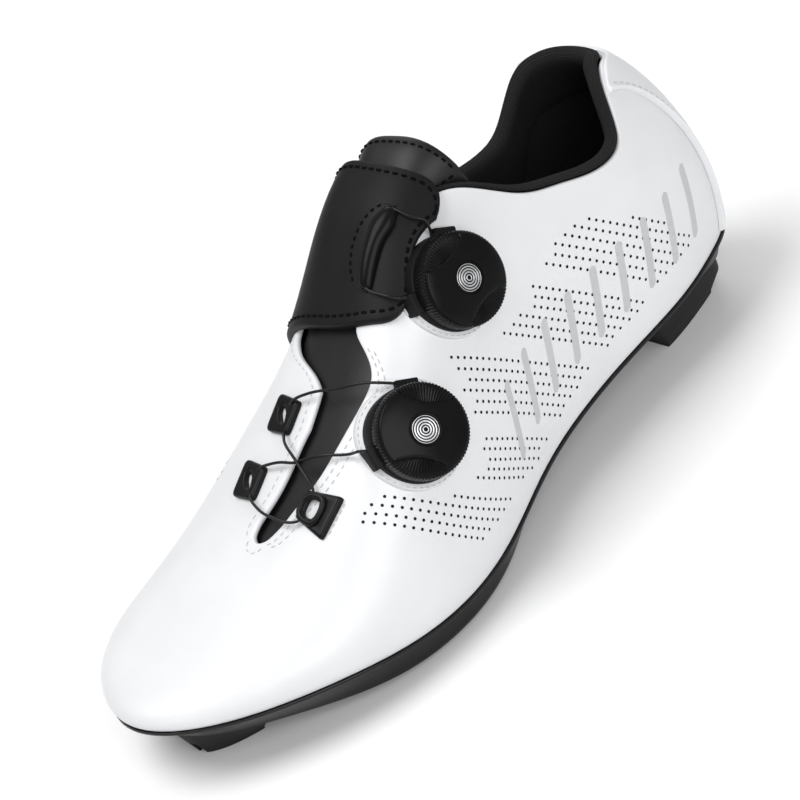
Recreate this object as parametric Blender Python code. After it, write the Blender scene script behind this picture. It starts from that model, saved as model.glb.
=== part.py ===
"""Left road cycling shoe: a hollow upper on a stiff sole, closed by a strap and two lace dials.

+X runs to the toe, +Y to the outer side and +Z up. The model is built with the back of the
heel at x = 0 and is then set with the middle of its box over the origin.
"""
import math

import bmesh
import bpy
import numpy as np
from mathutils import Matrix, Vector

# Driving sizes of the last, in metres
LENGTH = 0.276
BALL_WIDTH = 0.096
INSTEP_HEIGHT = 0.108
HEEL_SEAT = 0.021

# Walls and clearances
GAP = 0.0003
SEAT = 0.0005
UPPER_WALL = 0.0022
LINING_PAD = 0.0036
LINING_DEPTH = 0.024
LINING_ROLL = 0.0036
HEEL_ROLL = 0.0024
HEEL_ROLL_REACH = 0.075
TONGUE_THICK = 0.0026
STRAP_THICK = 0.0020
COUNTER_THICK = 0.0009
SEAM_RISE = 0.0007
INSOLE_THICK = 0.0032
INSOLE_CLEAR = 0.0006

# Sole
SOLE_RIM = 0.0008
RIM_THICK = 0.0013
PLATFORM_BEVEL = 0.0010
RECESS_DEPTH = 0.0020
VENT_DEPTH = 0.0022
CLEAT_SLOT_WIDTH = 0.0070
CLEAT_SLOT_LENGTH = 0.026
CLEAT_SLOT_DEPTH = 0.0040
CLEAT_ACROSS = 0.0165
NUT_RADIUS = 0.0031
NUT_HOLE = 0.0019
NUT_HEIGHT = 0.0020
NUT_PITCH = 0.0110
SCREW_HOLE_RADIUS = 0.0026

# Lace dials and guides
DIAL_RADIUS = 0.0157
DIAL_BASE_RADIUS = 0.0160
DIAL_PATCH_RADIUS = DIAL_BASE_RADIUS + 0.0020
DIAL_PATCH_THICK = 0.0013
DIAL_BASE_TOP = 0.0034
DIAL_KNOB_HEIGHT = 0.0086
DIAL_LUG_REACH = DIAL_BASE_RADIUS + 0.0018
DIAL_LUG_WIDTH = 0.0075
DIAL_LUG_TURNS = (-32, 78)
DIAL_CLEAR_RADIUS = DIAL_BASE_RADIUS + 0.0025
LACE_RADIUS = 0.00065
GUIDE_THICK = 0.0026

# Where the rays of the last meet: the ridge stops short of the heel and of the toe
HEEL_PIVOT = 0.125
TOE_PIVOT = 0.82
PIVOT_BLEND = 0.07
TOE_SLOPE = -0.36
TOE_ACROSS = -0.045

# Feather edge. along: share of LENGTH; outer, inner: shares of BALL_WIDTH
OUTLINE = (
    (0.025, 0.202, 0.188),
    (0.075, 0.277, 0.280),
    (0.150, 0.328, 0.330),
    (0.270, 0.333, 0.324),
    (0.400, 0.358, 0.312),
    (0.520, 0.449, 0.343),
    (0.620, 0.510, 0.437),
    (0.725, 0.514, 0.500),
    (0.815, 0.457, 0.508),
    (0.890, 0.352, 0.464),
    (0.945, 0.240, 0.360),
    (0.982, 0.120, 0.218),
)
# Side profile. along: LENGTH; seat: HEEL_SEAT; ridge: INSTEP_HEIGHT; ridge_side: BALL_WIDTH
PROFILE = (
    (0.000, 1.26, 0.975, 0.000),
    (0.125, 1.18, 1.030, -0.010),
    (0.270, 1.06, 1.120, -0.050),
    (0.370, 0.92, 1.140, -0.065),
    (0.460, 0.77, 1.030, -0.030),
    (0.550, 0.56, 0.830, 0.045),
    (0.640, 0.51, 0.670, 0.085),
    (0.730, 0.63, 0.525, 0.070),
    (0.820, 0.84, 0.415, 0.010),
    (0.910, 1.00, 0.340, -0.050),
    (1.000, 1.20, 0.280, -0.100),
)
# Cross-section. along: LENGTH; square: exponent of the superellipse; bulge: BALL_WIDTH
FORM = (
    (0.00, 2.45, 0.030),
    (0.15, 2.95, 0.030),
    (0.35, 2.95, 0.018),
    (0.55, 2.95, 0.020),
    (0.75, 2.80, 0.030),
    (0.90, 2.40, 0.030),
    (1.00, 1.95, 0.026),
)
# Edge of the collar and throat. along: LENGTH; outer, inner: shares of the girth from
# the feather edge to the ridge, 1 where the vamp closes
OPENING = (
    (0.000, 0.745, 0.745),
    (0.030, 0.777, 0.777),
    (0.070, 0.768, 0.785),
    (0.100, 0.712, 0.755),
    (0.115, 0.655, 0.700),
    (0.130, 0.590, 0.620),
    (0.145, 0.562, 0.550),
    (0.170, 0.550, 0.500),
    (0.200, 0.557, 0.495),
    (0.235, 0.580, 0.510),
    (0.285, 0.622, 0.560),
    (0.345, 0.738, 0.680),
    (0.400, 0.797, 0.775),
    (0.470, 0.825, 0.835),
    (0.545, 0.838, 0.850),
    (0.562, 0.822, 0.858),
    (0.575, 0.808, 0.885),
    (0.590, 0.808, 0.945),
    (0.605, 0.815, 0.972),
    (0.650, 0.840, 0.978),
    (0.690, 0.870, 0.968),
    (0.735, 0.915, 0.948),
    (0.757, 0.945, 0.945),
    (0.770, 0.955, 0.955),
    (0.776, 0.972, 0.972),
    (0.778, 1.000, 1.000),
)
THROAT_END = 0.778
# Underside of the sole. along: LENGTH; height: HEEL_SEAT; inset: BALL_WIDTH
PLATFORM = (
    (0.00, 0.70, 0.040),
    (0.03, 0.68, 0.060),
    (0.09, 0.66, 0.100),
    (0.18, 0.65, 0.115),
    (0.26, 0.65, 0.120),
    (0.35, 0.60, 0.110),
    (0.46, 0.43, 0.060),
    (0.56, 0.19, 0.018),
    (0.66, 0.11, 0.012),
    (0.75, 0.17, 0.030),
    (0.83, 0.32, 0.064),
    (0.89, 0.44, 0.090),
    (0.95, 0.60, 0.104),
    (1.00, 0.86, 0.100),
)
# Seam of the heel counter. up: share of the counter's height; along: LENGTH
COUNTER = (
    (0.00, 0.047),
    (0.15, 0.037),
    (0.30, 0.031),
    (0.45, 0.030),
    (0.60, 0.035),
    (0.72, 0.043),
    (0.84, 0.058),
    (0.93, 0.078),
    (1.00, 0.098),
)
# Strap. girth: share of the girth from the ridge, outer side positive; rear, front: LENGTH
STRAP = (
    (0.277, 0.392, 0.486),
    (0.266, 0.377, 0.499),
    (0.235, 0.368, 0.509),
    (0.190, 0.372, 0.520),
    (0.100, 0.379, 0.536),
    (0.000, 0.384, 0.545),
    (-0.150, 0.388, 0.548),
    (-0.300, 0.385, 0.545),
    (-0.500, 0.360, 0.525),
    (-0.750, 0.305, 0.475),
    (-0.970, 0.255, 0.428),
)
# Tongue. along: LENGTH; outer, inner: BALL_WIDTH from the ridge; lift: BALL_WIDTH
TONGUE = (
    (0.338, 0.170, 0.130, 0.030),
    (0.342, 0.222, 0.175, 0.030),
    (0.350, 0.245, 0.200, 0.027),
    (0.364, 0.246, 0.215, 0.017),
    (0.385, 0.243, 0.240, 0.000),
    (0.410, 0.252, 0.255, 0.000),
    (0.450, 0.265, 0.260, 0.000),
    (0.560, 0.275, 0.240, 0.000),
    (0.640, 0.240, 0.180, 0.000),
    (0.720, 0.190, 0.160, 0.000),
    (0.780, 0.130, 0.130, 0.000),
    (0.795, 0.080, 0.080, 0.000),
)
# How far the tongue's rear edge leans to the heel on the outer side, and where that ends
TONGUE_SLANT = 0.107
TONGUE_STRAIGHT = 0.450
# Lace dials. along: LENGTH; girth: share from the feather edge, on the outer side
DIALS = (
    ("upper", 0.435, 0.622),
    ("lower", 0.589, 0.587),
)
# Lace guides. along: LENGTH; side: 1 outer, -1 inner; girth: share from the feather edge;
# turn: degrees from the line of the foot
GUIDES = (
    ("medial_upper", 0.636, -1, 0.864, 20.0),
    ("medial_lower", 0.707, -1, 0.806, 20.0),
)
OUTER_GUIDE = (0.715, 1, 0.776, 0.0)
STRAP_GUIDE = (0.470, 1, 0.872, 0.0)
STRAP_GUIDE_LENGTH = 0.0240


def natural_curve(knots, values):
    """Cubic through the knots with free ends."""
    knots, values = np.asarray(knots, float), np.asarray(values, float)
    count = len(knots)
    step = np.diff(knots)
    matrix = np.zeros((count, count))
    right = np.zeros(count)
    matrix[0, 0] = matrix[-1, -1] = 1
    for i in range(1, count - 1):
        matrix[i, i - 1:i + 2] = step[i - 1], 2 * (step[i - 1] + step[i]), step[i]
        right[i] = 6 * ((values[i + 1] - values[i]) / step[i] - (values[i] - values[i - 1]) / step[i - 1])
    bend = np.linalg.solve(matrix, right)

    def at(x):
        x = np.asarray(x, float)
        i = np.clip(np.searchsorted(knots, x) - 1, 0, count - 2)
        past, ahead, h = x - knots[i], knots[i + 1] - x, step[i]
        curve = (bend[i] * ahead**3 + bend[i + 1] * past**3) / (6 * h)
        return curve + (values[i] / h - bend[i] * h / 6) * ahead + (values[i + 1] / h - bend[i + 1] * h / 6) * past
    return at


def column(table, index, knot_scale=1.0, value_scale=1.0):
    """A smooth curve through one column of a table."""
    return natural_curve([row[0] * knot_scale for row in table], [row[index] * value_scale for row in table])


def station(along):
    """Angle of the ray whose foot lies at this share of the length."""
    return math.acos(1 - 2 * min(along, 1.0))


def outline_curve():
    """Distance of the feather edge from the centre line, over the full turn of the rays."""
    knots = [(0.0, 0.0), (math.pi, TOE_ACROSS), (-math.pi, TOE_ACROSS)]
    for along, outer, inner in OUTLINE:
        knots += [(station(along), outer), (-station(along), -inner)]
    knots.sort()
    turn = 2 * math.pi
    before = [(angle - turn, across) for angle, across in knots[-6:-1]]
    after = [(angle + turn, across) for angle, across in knots[1:6]]
    knots = before + knots + after
    return natural_curve([k[0] for k in knots], [k[1] * BALL_WIDTH for k in knots])


edge_across = outline_curve()
seat_height = column(PROFILE, 1, LENGTH, HEEL_SEAT)
ridge_height = column(PROFILE, 2, LENGTH, INSTEP_HEIGHT)
ridge_across = column(PROFILE, 3, LENGTH, BALL_WIDTH)
squareness = column(FORM, 1, LENGTH)
bulge = column(FORM, 2, LENGTH, BALL_WIDTH)
platform_height = column(PLATFORM, 1, LENGTH, HEEL_SEAT)
platform_inset = column(PLATFORM, 2, LENGTH, BALL_WIDTH)


def blend_min(a, b, width):
    near = np.maximum(width - np.abs(a - b), 0) / width
    return np.minimum(a, b) - near**3 * width / 6


def ridge_along(x):
    """Where the ray from a foot at x meets the ridge."""
    width = PIVOT_BLEND * LENGTH
    return -blend_min(-blend_min(x, TOE_PIVOT * LENGTH, width), -HEEL_PIVOT * LENGTH, width)


def ray(theta, phi):
    """Point of the last. theta: station, positive on the outer side; phi: 0 at the feather
    edge to a quarter turn at the ridge."""
    theta, phi = np.broadcast_arrays(np.asarray(theta, float), np.asarray(phi, float))
    x = LENGTH * (1 - np.cos(theta)) / 2
    y = edge_across(theta)
    foot = seat_height(x)
    x_ridge = ridge_along(x)
    y_ridge, z_ridge = ridge_across(x_ridge), ridge_height(x_ridge)
    power = 2 / squareness(x)
    inward, rise = 1 - np.cos(phi) ** power, np.sin(phi) ** power
    to_x, to_y = x_ridge - x, y_ridge - y
    reach = np.hypot(to_x, to_y)
    swell = bulge(x) * 6.75 * rise * (1 - rise) ** 2
    run = reach * inward - swell
    px, py = x + to_x / reach * run, y + to_y / reach * run
    slope = np.where(x > x_ridge, TOE_SLOPE * (px - x_ridge), 0) * rise**3
    return np.stack([px, py, foot + (z_ridge - foot) * rise + slope], -1)


def outward(theta, phi):
    """Unit normal of the last, away from the foot."""
    step = 0.002
    phi = np.clip(phi, 0.012, math.pi / 2 - 0.03)
    along = ray(theta + step, phi) - ray(theta - step, phi)
    up = ray(theta, phi + step) - ray(theta, phi - step)
    normal = -np.cross(along, up)
    return normal / np.linalg.norm(normal, axis=-1, keepdims=True)


EASED = np.linspace(0, 1, 81)
FINE_PHI = (3 * EASED**2 - 2 * EASED**3) * math.pi / 2


def girth_angle(theta, share):
    """Angle at a share of the girth from the feather edge to the ridge, and the girth's length."""
    path = ray(theta[:, None], FINE_PHI[None, :])
    length = np.cumsum(np.linalg.norm(np.diff(path, axis=1), axis=-1), axis=1)
    length = np.concatenate([np.zeros((len(theta), 1)), length], axis=1)
    angle = [np.interp(s * run[-1], run, FINE_PHI) for s, run in zip(share, length)]
    return np.array(angle), length[:, -1]


def on_last(theta, share, height=0.0):
    """Points over the last: station, share of the girth, and height along the normal."""
    theta, share, height = np.broadcast_arrays(*[np.asarray(v, float) for v in (theta, share, height)])
    shape = theta.shape
    flat_theta, flat_share, flat_height = theta.ravel(), share.ravel(), height.ravel()
    phi, _ = girth_angle(flat_theta, flat_share)
    points = ray(flat_theta, phi) + outward(flat_theta, phi) * flat_height[:, None]
    return points.reshape(shape + (3,))


def over_ridge(along, girth, height=0.0):
    """Points over the last by share of length and share of girth from the ridge, outer side positive."""
    along, girth = np.broadcast_arrays(np.asarray(along, float), np.asarray(girth, float))
    theta = np.arccos(1 - 2 * along) * np.where(girth < 0, -1, 1)
    return on_last(theta, 1 - np.abs(girth), height)


def inset_edge(theta, inset):
    """Feather edge in plan, moved towards the centre line by inset."""
    theta = np.asarray(theta, float)
    step = 0.002
    x = LENGTH * (1 - np.cos(theta)) / 2
    dx = LENGTH * (np.cos(theta - step) - np.cos(theta + step)) / 2
    dy = edge_across(theta + step) - edge_across(theta - step)
    run = np.hypot(dx, dy)
    return np.stack([x + dy / run * inset, edge_across(theta) - dx / run * inset], -1)


def material(name, colour, roughness, metallic=0.0):
    found = bpy.data.materials.get(name)
    if found:
        return found
    made = bpy.data.materials.new(name)
    made.use_nodes = True
    shader = made.node_tree.nodes["Principled BSDF"]
    shader.inputs["Base Color"].default_value = (*colour, 1.0)
    shader.inputs["Roughness"].default_value = roughness
    shader.inputs["Metallic"].default_value = metallic
    return made


def white_leather():
    return material("white_leather", (0.86, 0.87, 0.89), 0.38)


def black_leather():
    return material("black_leather", (0.022, 0.022, 0.024), 0.5)


def black_mesh():
    return material("black_mesh", (0.012, 0.012, 0.013), 0.85)


def sole_nylon():
    return material("sole_nylon", (0.020, 0.021, 0.023), 0.32)


def tread_rubber():
    return material("tread_rubber", (0.024, 0.024, 0.025), 0.7)


def dial_plastic():
    return material("dial_plastic", (0.015, 0.015, 0.016), 0.3)


def lace_cord():
    return material("lace_cord", (0.02, 0.02, 0.022), 0.45)


def nut_steel():
    return material("nut_steel", (0.55, 0.55, 0.56), 0.35, 1.0)


def make_object(name, points, faces, finish, smooth=True):
    """One closed body with its faces pointing out."""
    form = bmesh.new()
    verts = [form.verts.new(Vector([float(c) for c in p])) for p in points]
    for face in faces:
        form.faces.new([verts[i] for i in face])
    bmesh.ops.triangulate(form, faces=[f for f in form.faces if len(f.verts) > 3])
    if form.calc_volume(signed=True) < 0:
        bmesh.ops.reverse_faces(form, faces=form.faces)
    mesh = bpy.data.meshes.new(name)
    form.to_mesh(mesh)
    form.free()
    mesh.materials.append(finish)
    obj = bpy.data.objects.new(name, mesh)
    bpy.context.scene.collection.objects.link(obj)
    if smooth:
        mesh.shade_smooth()
        mesh.set_sharp_from_angle(angle=math.radians(40))
    return obj


def hide_tool(obj):
    obj.hide_render = True
    obj.display_type = "WIRE"
    return obj


def combine(obj, tool, operation):
    """Cut or join with another object, which stays as a hidden tool."""
    change = obj.modifiers.new(f"{operation.lower()} {tool.name}", "BOOLEAN")
    change.operation = operation
    change.solver = "EXACT"
    change.object = hide_tool(tool)


def slab_faces(columns, rows):
    """Faces of a closed slab made of two grids, outer then inner, each columns by rows."""
    def outer(i, j):
        return i * rows + j

    def inner(i, j):
        return columns * rows + i * rows + j
    faces = []
    for i in range(columns - 1):
        for j in range(rows - 1):
            faces.append((outer(i, j), outer(i + 1, j), outer(i + 1, j + 1), outer(i, j + 1)))
            faces.append((inner(i, j), inner(i, j + 1), inner(i + 1, j + 1), inner(i + 1, j)))
    for i in range(columns - 1):
        faces.append((outer(i + 1, 0), outer(i, 0), inner(i, 0), inner(i + 1, 0)))
        last = rows - 1
        faces.append((outer(i, last), outer(i + 1, last), inner(i + 1, last), inner(i, last)))
    for j in range(rows - 1):
        faces.append((outer(0, j), outer(0, j + 1), inner(0, j + 1), inner(0, j)))
        last = columns - 1
        faces.append((outer(last, j + 1), outer(last, j), inner(last, j), inner(last, j + 1)))
    return faces


def slab(name, outer, inner, finish):
    columns, rows = outer.shape[:2]
    points = np.concatenate([outer.reshape(-1, 3), inner.reshape(-1, 3)])
    return make_object(name, points, slab_faces(columns, rows), finish)


def ring_solid(name, rings, finish):
    """Solid from closed rings of equal length, each end closed by strips across the ring."""
    count = len(rings[0])
    points = np.concatenate(rings)
    faces = []
    for level in range(len(rings) - 1):
        low, high = level * count, (level + 1) * count
        for i in range(count):
            after = (i + 1) % count
            faces.append((low + i, low + after, high + after, high + i))
    for start, flip in ((0, True), ((len(rings) - 1) * count, False)):
        for i in range(count // 2):
            strip = [start + i, start + (i + 1) % count, start + (count - i - 1) % count, start + (count - i) % count]
            strip = list(dict.fromkeys(strip))
            if len(strip) > 2:
                faces.append(strip[::-1] if flip else strip)
    return make_object(name, points, faces, finish)


def stations(count, extra=()):
    """Angles from heel to toe on one side, evenly turned, with extra ones at shares of the length."""
    wanted = [station(a) for a in extra]
    near = 0.6 * math.pi / count
    even = [a for a in np.linspace(0, math.pi, count + 1) if all(abs(a - w) > near for w in wanted)]
    return np.array(sorted(even + wanted))


def full_turn(side):
    """One loop of stations: outer side from heel to toe, then the inner side back."""
    return np.concatenate([side, -side[-2:0:-1]])


LINING_END = 0.368
UPPER_STATIONS = stations(30, (0.085, 0.103, 0.118, 0.132, 0.150, LINING_END, 0.562, 0.575, 0.590, 0.605, 0.735,
                               0.755, 0.768, 0.775, THROAT_END))
UPPER_ROWS = np.array([0.0, 0.05, 0.13, 0.23, 0.35, 0.48, 0.61, 0.74, 0.86, 0.94, 1.0])


def opening_share(theta):
    """Girth share of the collar and throat edge at each station."""
    curves = {1: column(OPENING, 1), -1: column(OPENING, 2)}
    along = (1 - np.cos(theta)) / 2
    share = np.where(theta >= 0, curves[1](along), curves[-1](along))
    return np.where(along >= THROAT_END - 1e-9, 1.0, np.minimum(share, 0.985))


def build_upper():
    """Hollow upper: outer and inner skins, joined at the collar, the throat and the feather edge."""
    side = UPPER_STATIONS
    half = len(side) - 1
    loop = full_turn(side)
    count, rows = len(loop), len(UPPER_ROWS)
    share = opening_share(loop)[:, None] * UPPER_ROWS[None, :]
    outer = on_last(loop[:, None], share)
    inner = on_last(loop[:, None], share, -UPPER_WALL)
    inner[:, 0, 2] = outer[:, 0, 2]
    closed = (1 - np.cos(side)) / 2 >= THROAT_END - 1e-9
    points, index = [], {}

    def add(key, point):
        points.append(point)
        index[key] = len(points) - 1
    for skin, grid in enumerate((outer, inner)):
        for i in range(count):
            top = rows - 1 if closed[min(i, count - i)] else rows
            for j in range(top):
                add((skin, i, j), grid[i, j])
        last_ridge, merge = None, 0.0006
        for k in range(half + 1):
            if not closed[k]:
                continue
            pair = (k, (count - k) % count)
            ridge = (grid[pair[0], -1] + grid[pair[1], -1]) / 2
            if last_ridge is None or np.linalg.norm(ridge - points[last_ridge]) > merge:
                add((skin, k, rows - 1), ridge)
                last_ridge = index[(skin, k, rows - 1)]
            index[(skin, pair[0], rows - 1)] = last_ridge
            index[(skin, pair[1], rows - 1)] = last_ridge
    faces = []

    def add_face(corners):
        unique = list(dict.fromkeys(corners))
        if len(unique) > 2:
            faces.append(unique)
    for i in range(count):
        after = (i + 1) % count
        for j in range(rows - 1):
            square = ((i, j), (after, j), (after, j + 1), (i, j + 1))
            add_face([index[(0, a, b)] for a, b in square])
            add_face([index[(1, a, b)] for a, b in reversed(square)])
        add_face([index[(0, after, 0)], index[(0, i, 0)], index[(1, i, 0)], index[(1, after, 0)]])
        if not (closed[min(i, count - i)] and closed[min(after, count - after)]):
            top = rows - 1
            add_face([index[(0, i, top)], index[(0, after, top)], index[(1, after, top)], index[(1, i, top)]])
    return make_object("upper", points, faces, white_leather())


def last_body(name, height):
    """Closed form of the last, grown by height: cuts what lies on the upper to its shape."""
    side = stations(40)
    loop = full_turn(side)
    rows = np.array([0.0, 0.04, 0.1, 0.18, 0.27, 0.36, 0.45, 0.54, 0.63, 0.72, 0.8, 0.87, 0.93, 0.97, 1.0])
    grid = on_last(loop[:, None], rows[None, :], height)
    count, half = len(loop), len(side) - 1
    for k in range(half + 1):
        other = (count - k) % count
        middle = (grid[k, -1] + grid[other, -1]) / 2
        grid[k, -1] = grid[other, -1] = middle
    points, faces, index = [], [], {}
    for i in range(count):
        for j in range(len(rows)):
            ridge = j == len(rows) - 1
            key = (min(i, count - i) if ridge else i, j)
            if key not in index:
                near = ridge and key[0] > 0 and np.linalg.norm(grid[i, j] - grid[key[0] - 1, j]) < 0.0006
                if near and (key[0] - 1, j) in index:
                    index[key] = index[(key[0] - 1, j)]
                else:
                    points.append(grid[i, j])
                    index[key] = len(points) - 1
            index[(i, j)] = index[key]
    for i in range(count):
        after = (i + 1) % count
        for j in range(len(rows) - 1):
            corners = [index[(i, j)], index[(after, j)], index[(after, j + 1)], index[(i, j + 1)]]
            corners = list(dict.fromkeys(corners))
            if len(corners) > 2:
                faces.append(corners)
    for i in range(half):
        strip = [i, i + 1, (count - i - 1) % count, (count - i) % count]
        strip = list(dict.fromkeys([index[(s, 0)] for s in strip]))
        if len(strip) > 2:
            faces.append(strip[::-1])
    return hide_tool(make_object(name, points, faces, white_leather(), smooth=False))


def lift(plan, height):
    """Plan points set at a height, which may depend on the distance along the foot."""
    z = height(plan[:, 0]) if callable(height) else np.full(len(plan), height)
    return np.column_stack([plan, z])


SOLE_STATIONS = stations(28)


def build_outsole():
    """Stiff plate: rim under the upper, sloping side, and a raised platform below."""
    loop = full_turn(SOLE_STATIONS)
    along = (1 - np.cos(loop)) / 2 * LENGTH
    inset = platform_inset(along)
    rings = [
        lift(inset_edge(loop, inset + PLATFORM_BEVEL), platform_height),
        lift(inset_edge(loop, inset), lambda x: platform_height(x) + PLATFORM_BEVEL * 0.8),
        lift(inset_edge(loop, PLATFORM_BEVEL * 0.3), lambda x: seat_height(x) - GAP - RIM_THICK - PLATFORM_BEVEL * 0.6),
        lift(inset_edge(loop, -SOLE_RIM), lambda x: seat_height(x) - GAP - RIM_THICK),
        lift(inset_edge(loop, -SOLE_RIM), lambda x: seat_height(x) - GAP - RIM_THICK * 0.2),
        lift(inset_edge(loop, -SOLE_RIM * 0.7), lambda x: seat_height(x) - GAP),
    ]
    sole = ring_solid("outsole", rings, sole_nylon())
    for cutter in (arch_recess(), *vent_slots(), *cleat_slots(), *screw_holes()):
        combine(sole, cutter, "DIFFERENCE")
    return sole


def prism(name, plan, low, high):
    """Upright tool with this plan outline; low and high are heights or functions of x."""
    plan = np.asarray(plan, float)
    return hide_tool(ring_solid(name, [lift(plan, low), lift(plan, high)], sole_nylon()))


def lens_plan(start, end, width, across=0.0, peak=0.42, count=10):
    """Pointed oval along the foot, its widest place at a share of its length."""
    share = np.linspace(0, 1, count + 1)
    warped = share ** (math.log(0.5) / math.log(peak))
    half = np.sin(warped * math.pi) * width / 2
    x = start + (end - start) * share
    upper = np.column_stack([x, across + half])
    lower = np.column_stack([x[-2:0:-1], across - half[-2:0:-1]])
    return np.concatenate([upper, lower])


BELOW = -0.005


def arch_recess():
    plan = lens_plan(0.205 * LENGTH, 0.395 * LENGTH, 0.22 * BALL_WIDTH)
    return prism("arch recess tool", plan, BELOW, lambda x: platform_height(x) + RECESS_DEPTH)


def vent_slots():
    """Three slots that widen towards the ball and end on an arc."""
    start, reach, spread = 0.405 * LENGTH, 0.165 * LENGTH, 0.105 * BALL_WIDTH
    rib = 0.020 * BALL_WIDTH
    tools = []
    for place in (-1, 0, 1):
        edges = []
        for side in (-1, 1):
            edge = (place + side / 2) * 2 * spread
            narrow = edge * 0.42 - side * rib * 0.6
            wide = edge - side * rib
            length = reach * (1 - 0.10 * (edge / (3 * spread)) ** 2)
            edges.append(((start, narrow), (start + length, wide)))
        (a, b), (c, d) = edges
        plan = [a, b, d, c]
        tools.append(prism(f"vent slot tool {place + 2}", plan, BELOW, lambda x: platform_height(x) + VENT_DEPTH))
    return tools


def round_plan(x, y, radius, count=16):
    turn = np.linspace(0, 2 * math.pi, count, endpoint=False)
    return np.column_stack([x + radius * np.cos(turn), y + radius * np.sin(turn)])


CLEAT_ALONG = 0.690


def slot_plan(x, y, length, width, count=6):
    """Slot along the foot with round ends."""
    turn = np.linspace(-math.pi / 2, math.pi / 2, count)
    radius, reach = width / 2, (length - width) / 2
    front = np.column_stack([x + reach + radius * np.cos(turn), y + radius * np.sin(turn)])
    back = np.column_stack([x - reach - radius * np.cos(turn), y - radius * np.sin(turn)])
    return np.concatenate([front, back])


def cleat_slots():
    tools = []
    for side in (-1, 1):
        plan = slot_plan(CLEAT_ALONG * LENGTH, side * CLEAT_ACROSS / 2, CLEAT_SLOT_LENGTH, CLEAT_SLOT_WIDTH)
        top = lambda x: platform_height(x) + CLEAT_SLOT_DEPTH
        tools.append(prism(f"cleat slot tool {side}", plan, BELOW, top))
    return tools


def screw_holes():
    x = CLEAT_ALONG * LENGTH - CLEAT_SLOT_LENGTH * 0.42
    tools = []
    for side in (-1, 1):
        plan = round_plan(x, side * CLEAT_ACROSS * 1.25, SCREW_HOLE_RADIUS)
        top = lambda x: platform_height(x) + RECESS_DEPTH
        tools.append(prism(f"screw hole tool {side}", plan, BELOW, top))
    return tools


def build_cleat_nuts():
    """Four threaded rings, two in each slot."""
    number = 0
    for side in (-1, 1):
        for end in (-1, 1):
            number += 1
            x = CLEAT_ALONG * LENGTH + end * NUT_PITCH / 2
            y = side * CLEAT_ACROSS / 2
            top = platform_height(x) + CLEAT_SLOT_DEPTH - GAP * 2
            rings = []
            for radius, z in (
                (NUT_HOLE, top), (NUT_RADIUS, top), (NUT_RADIUS, top - NUT_HEIGHT),
                (NUT_HOLE, top - NUT_HEIGHT),
            ):
                rings.append(lift(round_plan(x, y, radius, 12), z))
            tube_solid(f"cleat_nut_{number}", rings, nut_steel())


def tube_solid(name, rings, finish):
    """Solid whose rings close on themselves, such as a washer."""
    count, levels = len(rings[0]), len(rings)
    faces = []
    for level in range(levels):
        low, high = level * count, (level + 1) % levels * count
        for i in range(count):
            after = (i + 1) % count
            faces.append((low + i, low + after, high + after, high + i))
    return make_object(name, np.concatenate(rings), faces, finish)


HEEL_TREAD_END = 0.178
TOE_TREAD_START = 0.915


def build_heel_tread():
    """Heel block, flush with the back of the sole and drawn in towards the floor."""
    count = 24
    share = np.abs(np.linspace(-1, 1, count))
    top = np.linspace(-1, 1, count) * station(HEEL_TREAD_END)
    low = np.linspace(-1, 1, count) * station(HEEL_TREAD_END * 0.86)
    top_inset = (0.045 + 0.070 * share**0.7) * BALL_WIDTH
    low_inset = (0.105 + 0.065 * share**0.7) * BALL_WIDTH
    middle_inset = (0.045 + 0.080 * share**0.7) * BALL_WIDTH
    rings = [
        lift(inset_edge(low, low_inset + 0.001), 0.0),
        lift(inset_edge(low, low_inset), 0.0012),
        lift(inset_edge(top * 0.96, middle_inset), lambda x: platform_height(x) * 0.55),
        lift(inset_edge(top, top_inset), lambda x: platform_height(x) - GAP),
    ]
    block = ring_solid("heel_tread", rings, tread_rubber())
    recess = slot_plan(0.085 * LENGTH, 0, 0.055 * LENGTH, 0.115 * BALL_WIDTH, 2)
    combine(block, prism("heel recess tool", recess, BELOW, HEEL_SEAT * 0.16), "DIFFERENCE")
    return block


def build_toe_tread():
    """Toe bumper with three lugs."""
    count = 24
    turn = np.linspace(-1, 1, count)
    top = math.pi + turn * (math.pi - station(TOE_TREAD_START))
    low = math.pi + turn * (math.pi - station(TOE_TREAD_START + 0.010))
    low_inset = (0.168 + 0.050 * turn**2) * BALL_WIDTH
    rings = [
        lift(inset_edge(low, low_inset + 0.010 * BALL_WIDTH), 0.0),
        lift(inset_edge(low, low_inset), 0.0010),
        lift(inset_edge(top, 0.115 * BALL_WIDTH), lambda x: platform_height(x) - GAP),
    ]
    bumper = ring_solid("toe_tread", rings, tread_rubber())
    for number, across in enumerate((-0.185, -0.035), 1):
        x = np.array([0.89, 0.985]) * LENGTH
        y = across * BALL_WIDTH
        half = 0.017 * BALL_WIDTH
        plan = [(x[0], y - half), (x[1], y - half), (x[1], y + half), (x[0], y + half)]
        groove = prism(f"toe groove tool {number}", plan, BELOW, lambda x: platform_height(x) * 0.42)
        combine(bumper, groove, "DIFFERENCE")
    return bumper


def build_insole():
    """Footbed inside the upper."""
    loop = full_turn(stations(24))
    inset = UPPER_WALL + GAP + INSOLE_CLEAR
    soft = INSOLE_THICK * 0.4
    rings = [
        lift(inset_edge(loop, inset), seat_height),
        lift(inset_edge(loop, inset), lambda x: seat_height(x) + INSOLE_THICK - soft),
        lift(inset_edge(loop, inset + soft), lambda x: seat_height(x) + INSOLE_THICK),
    ]
    return ring_solid("insole", rings, black_mesh())


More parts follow.
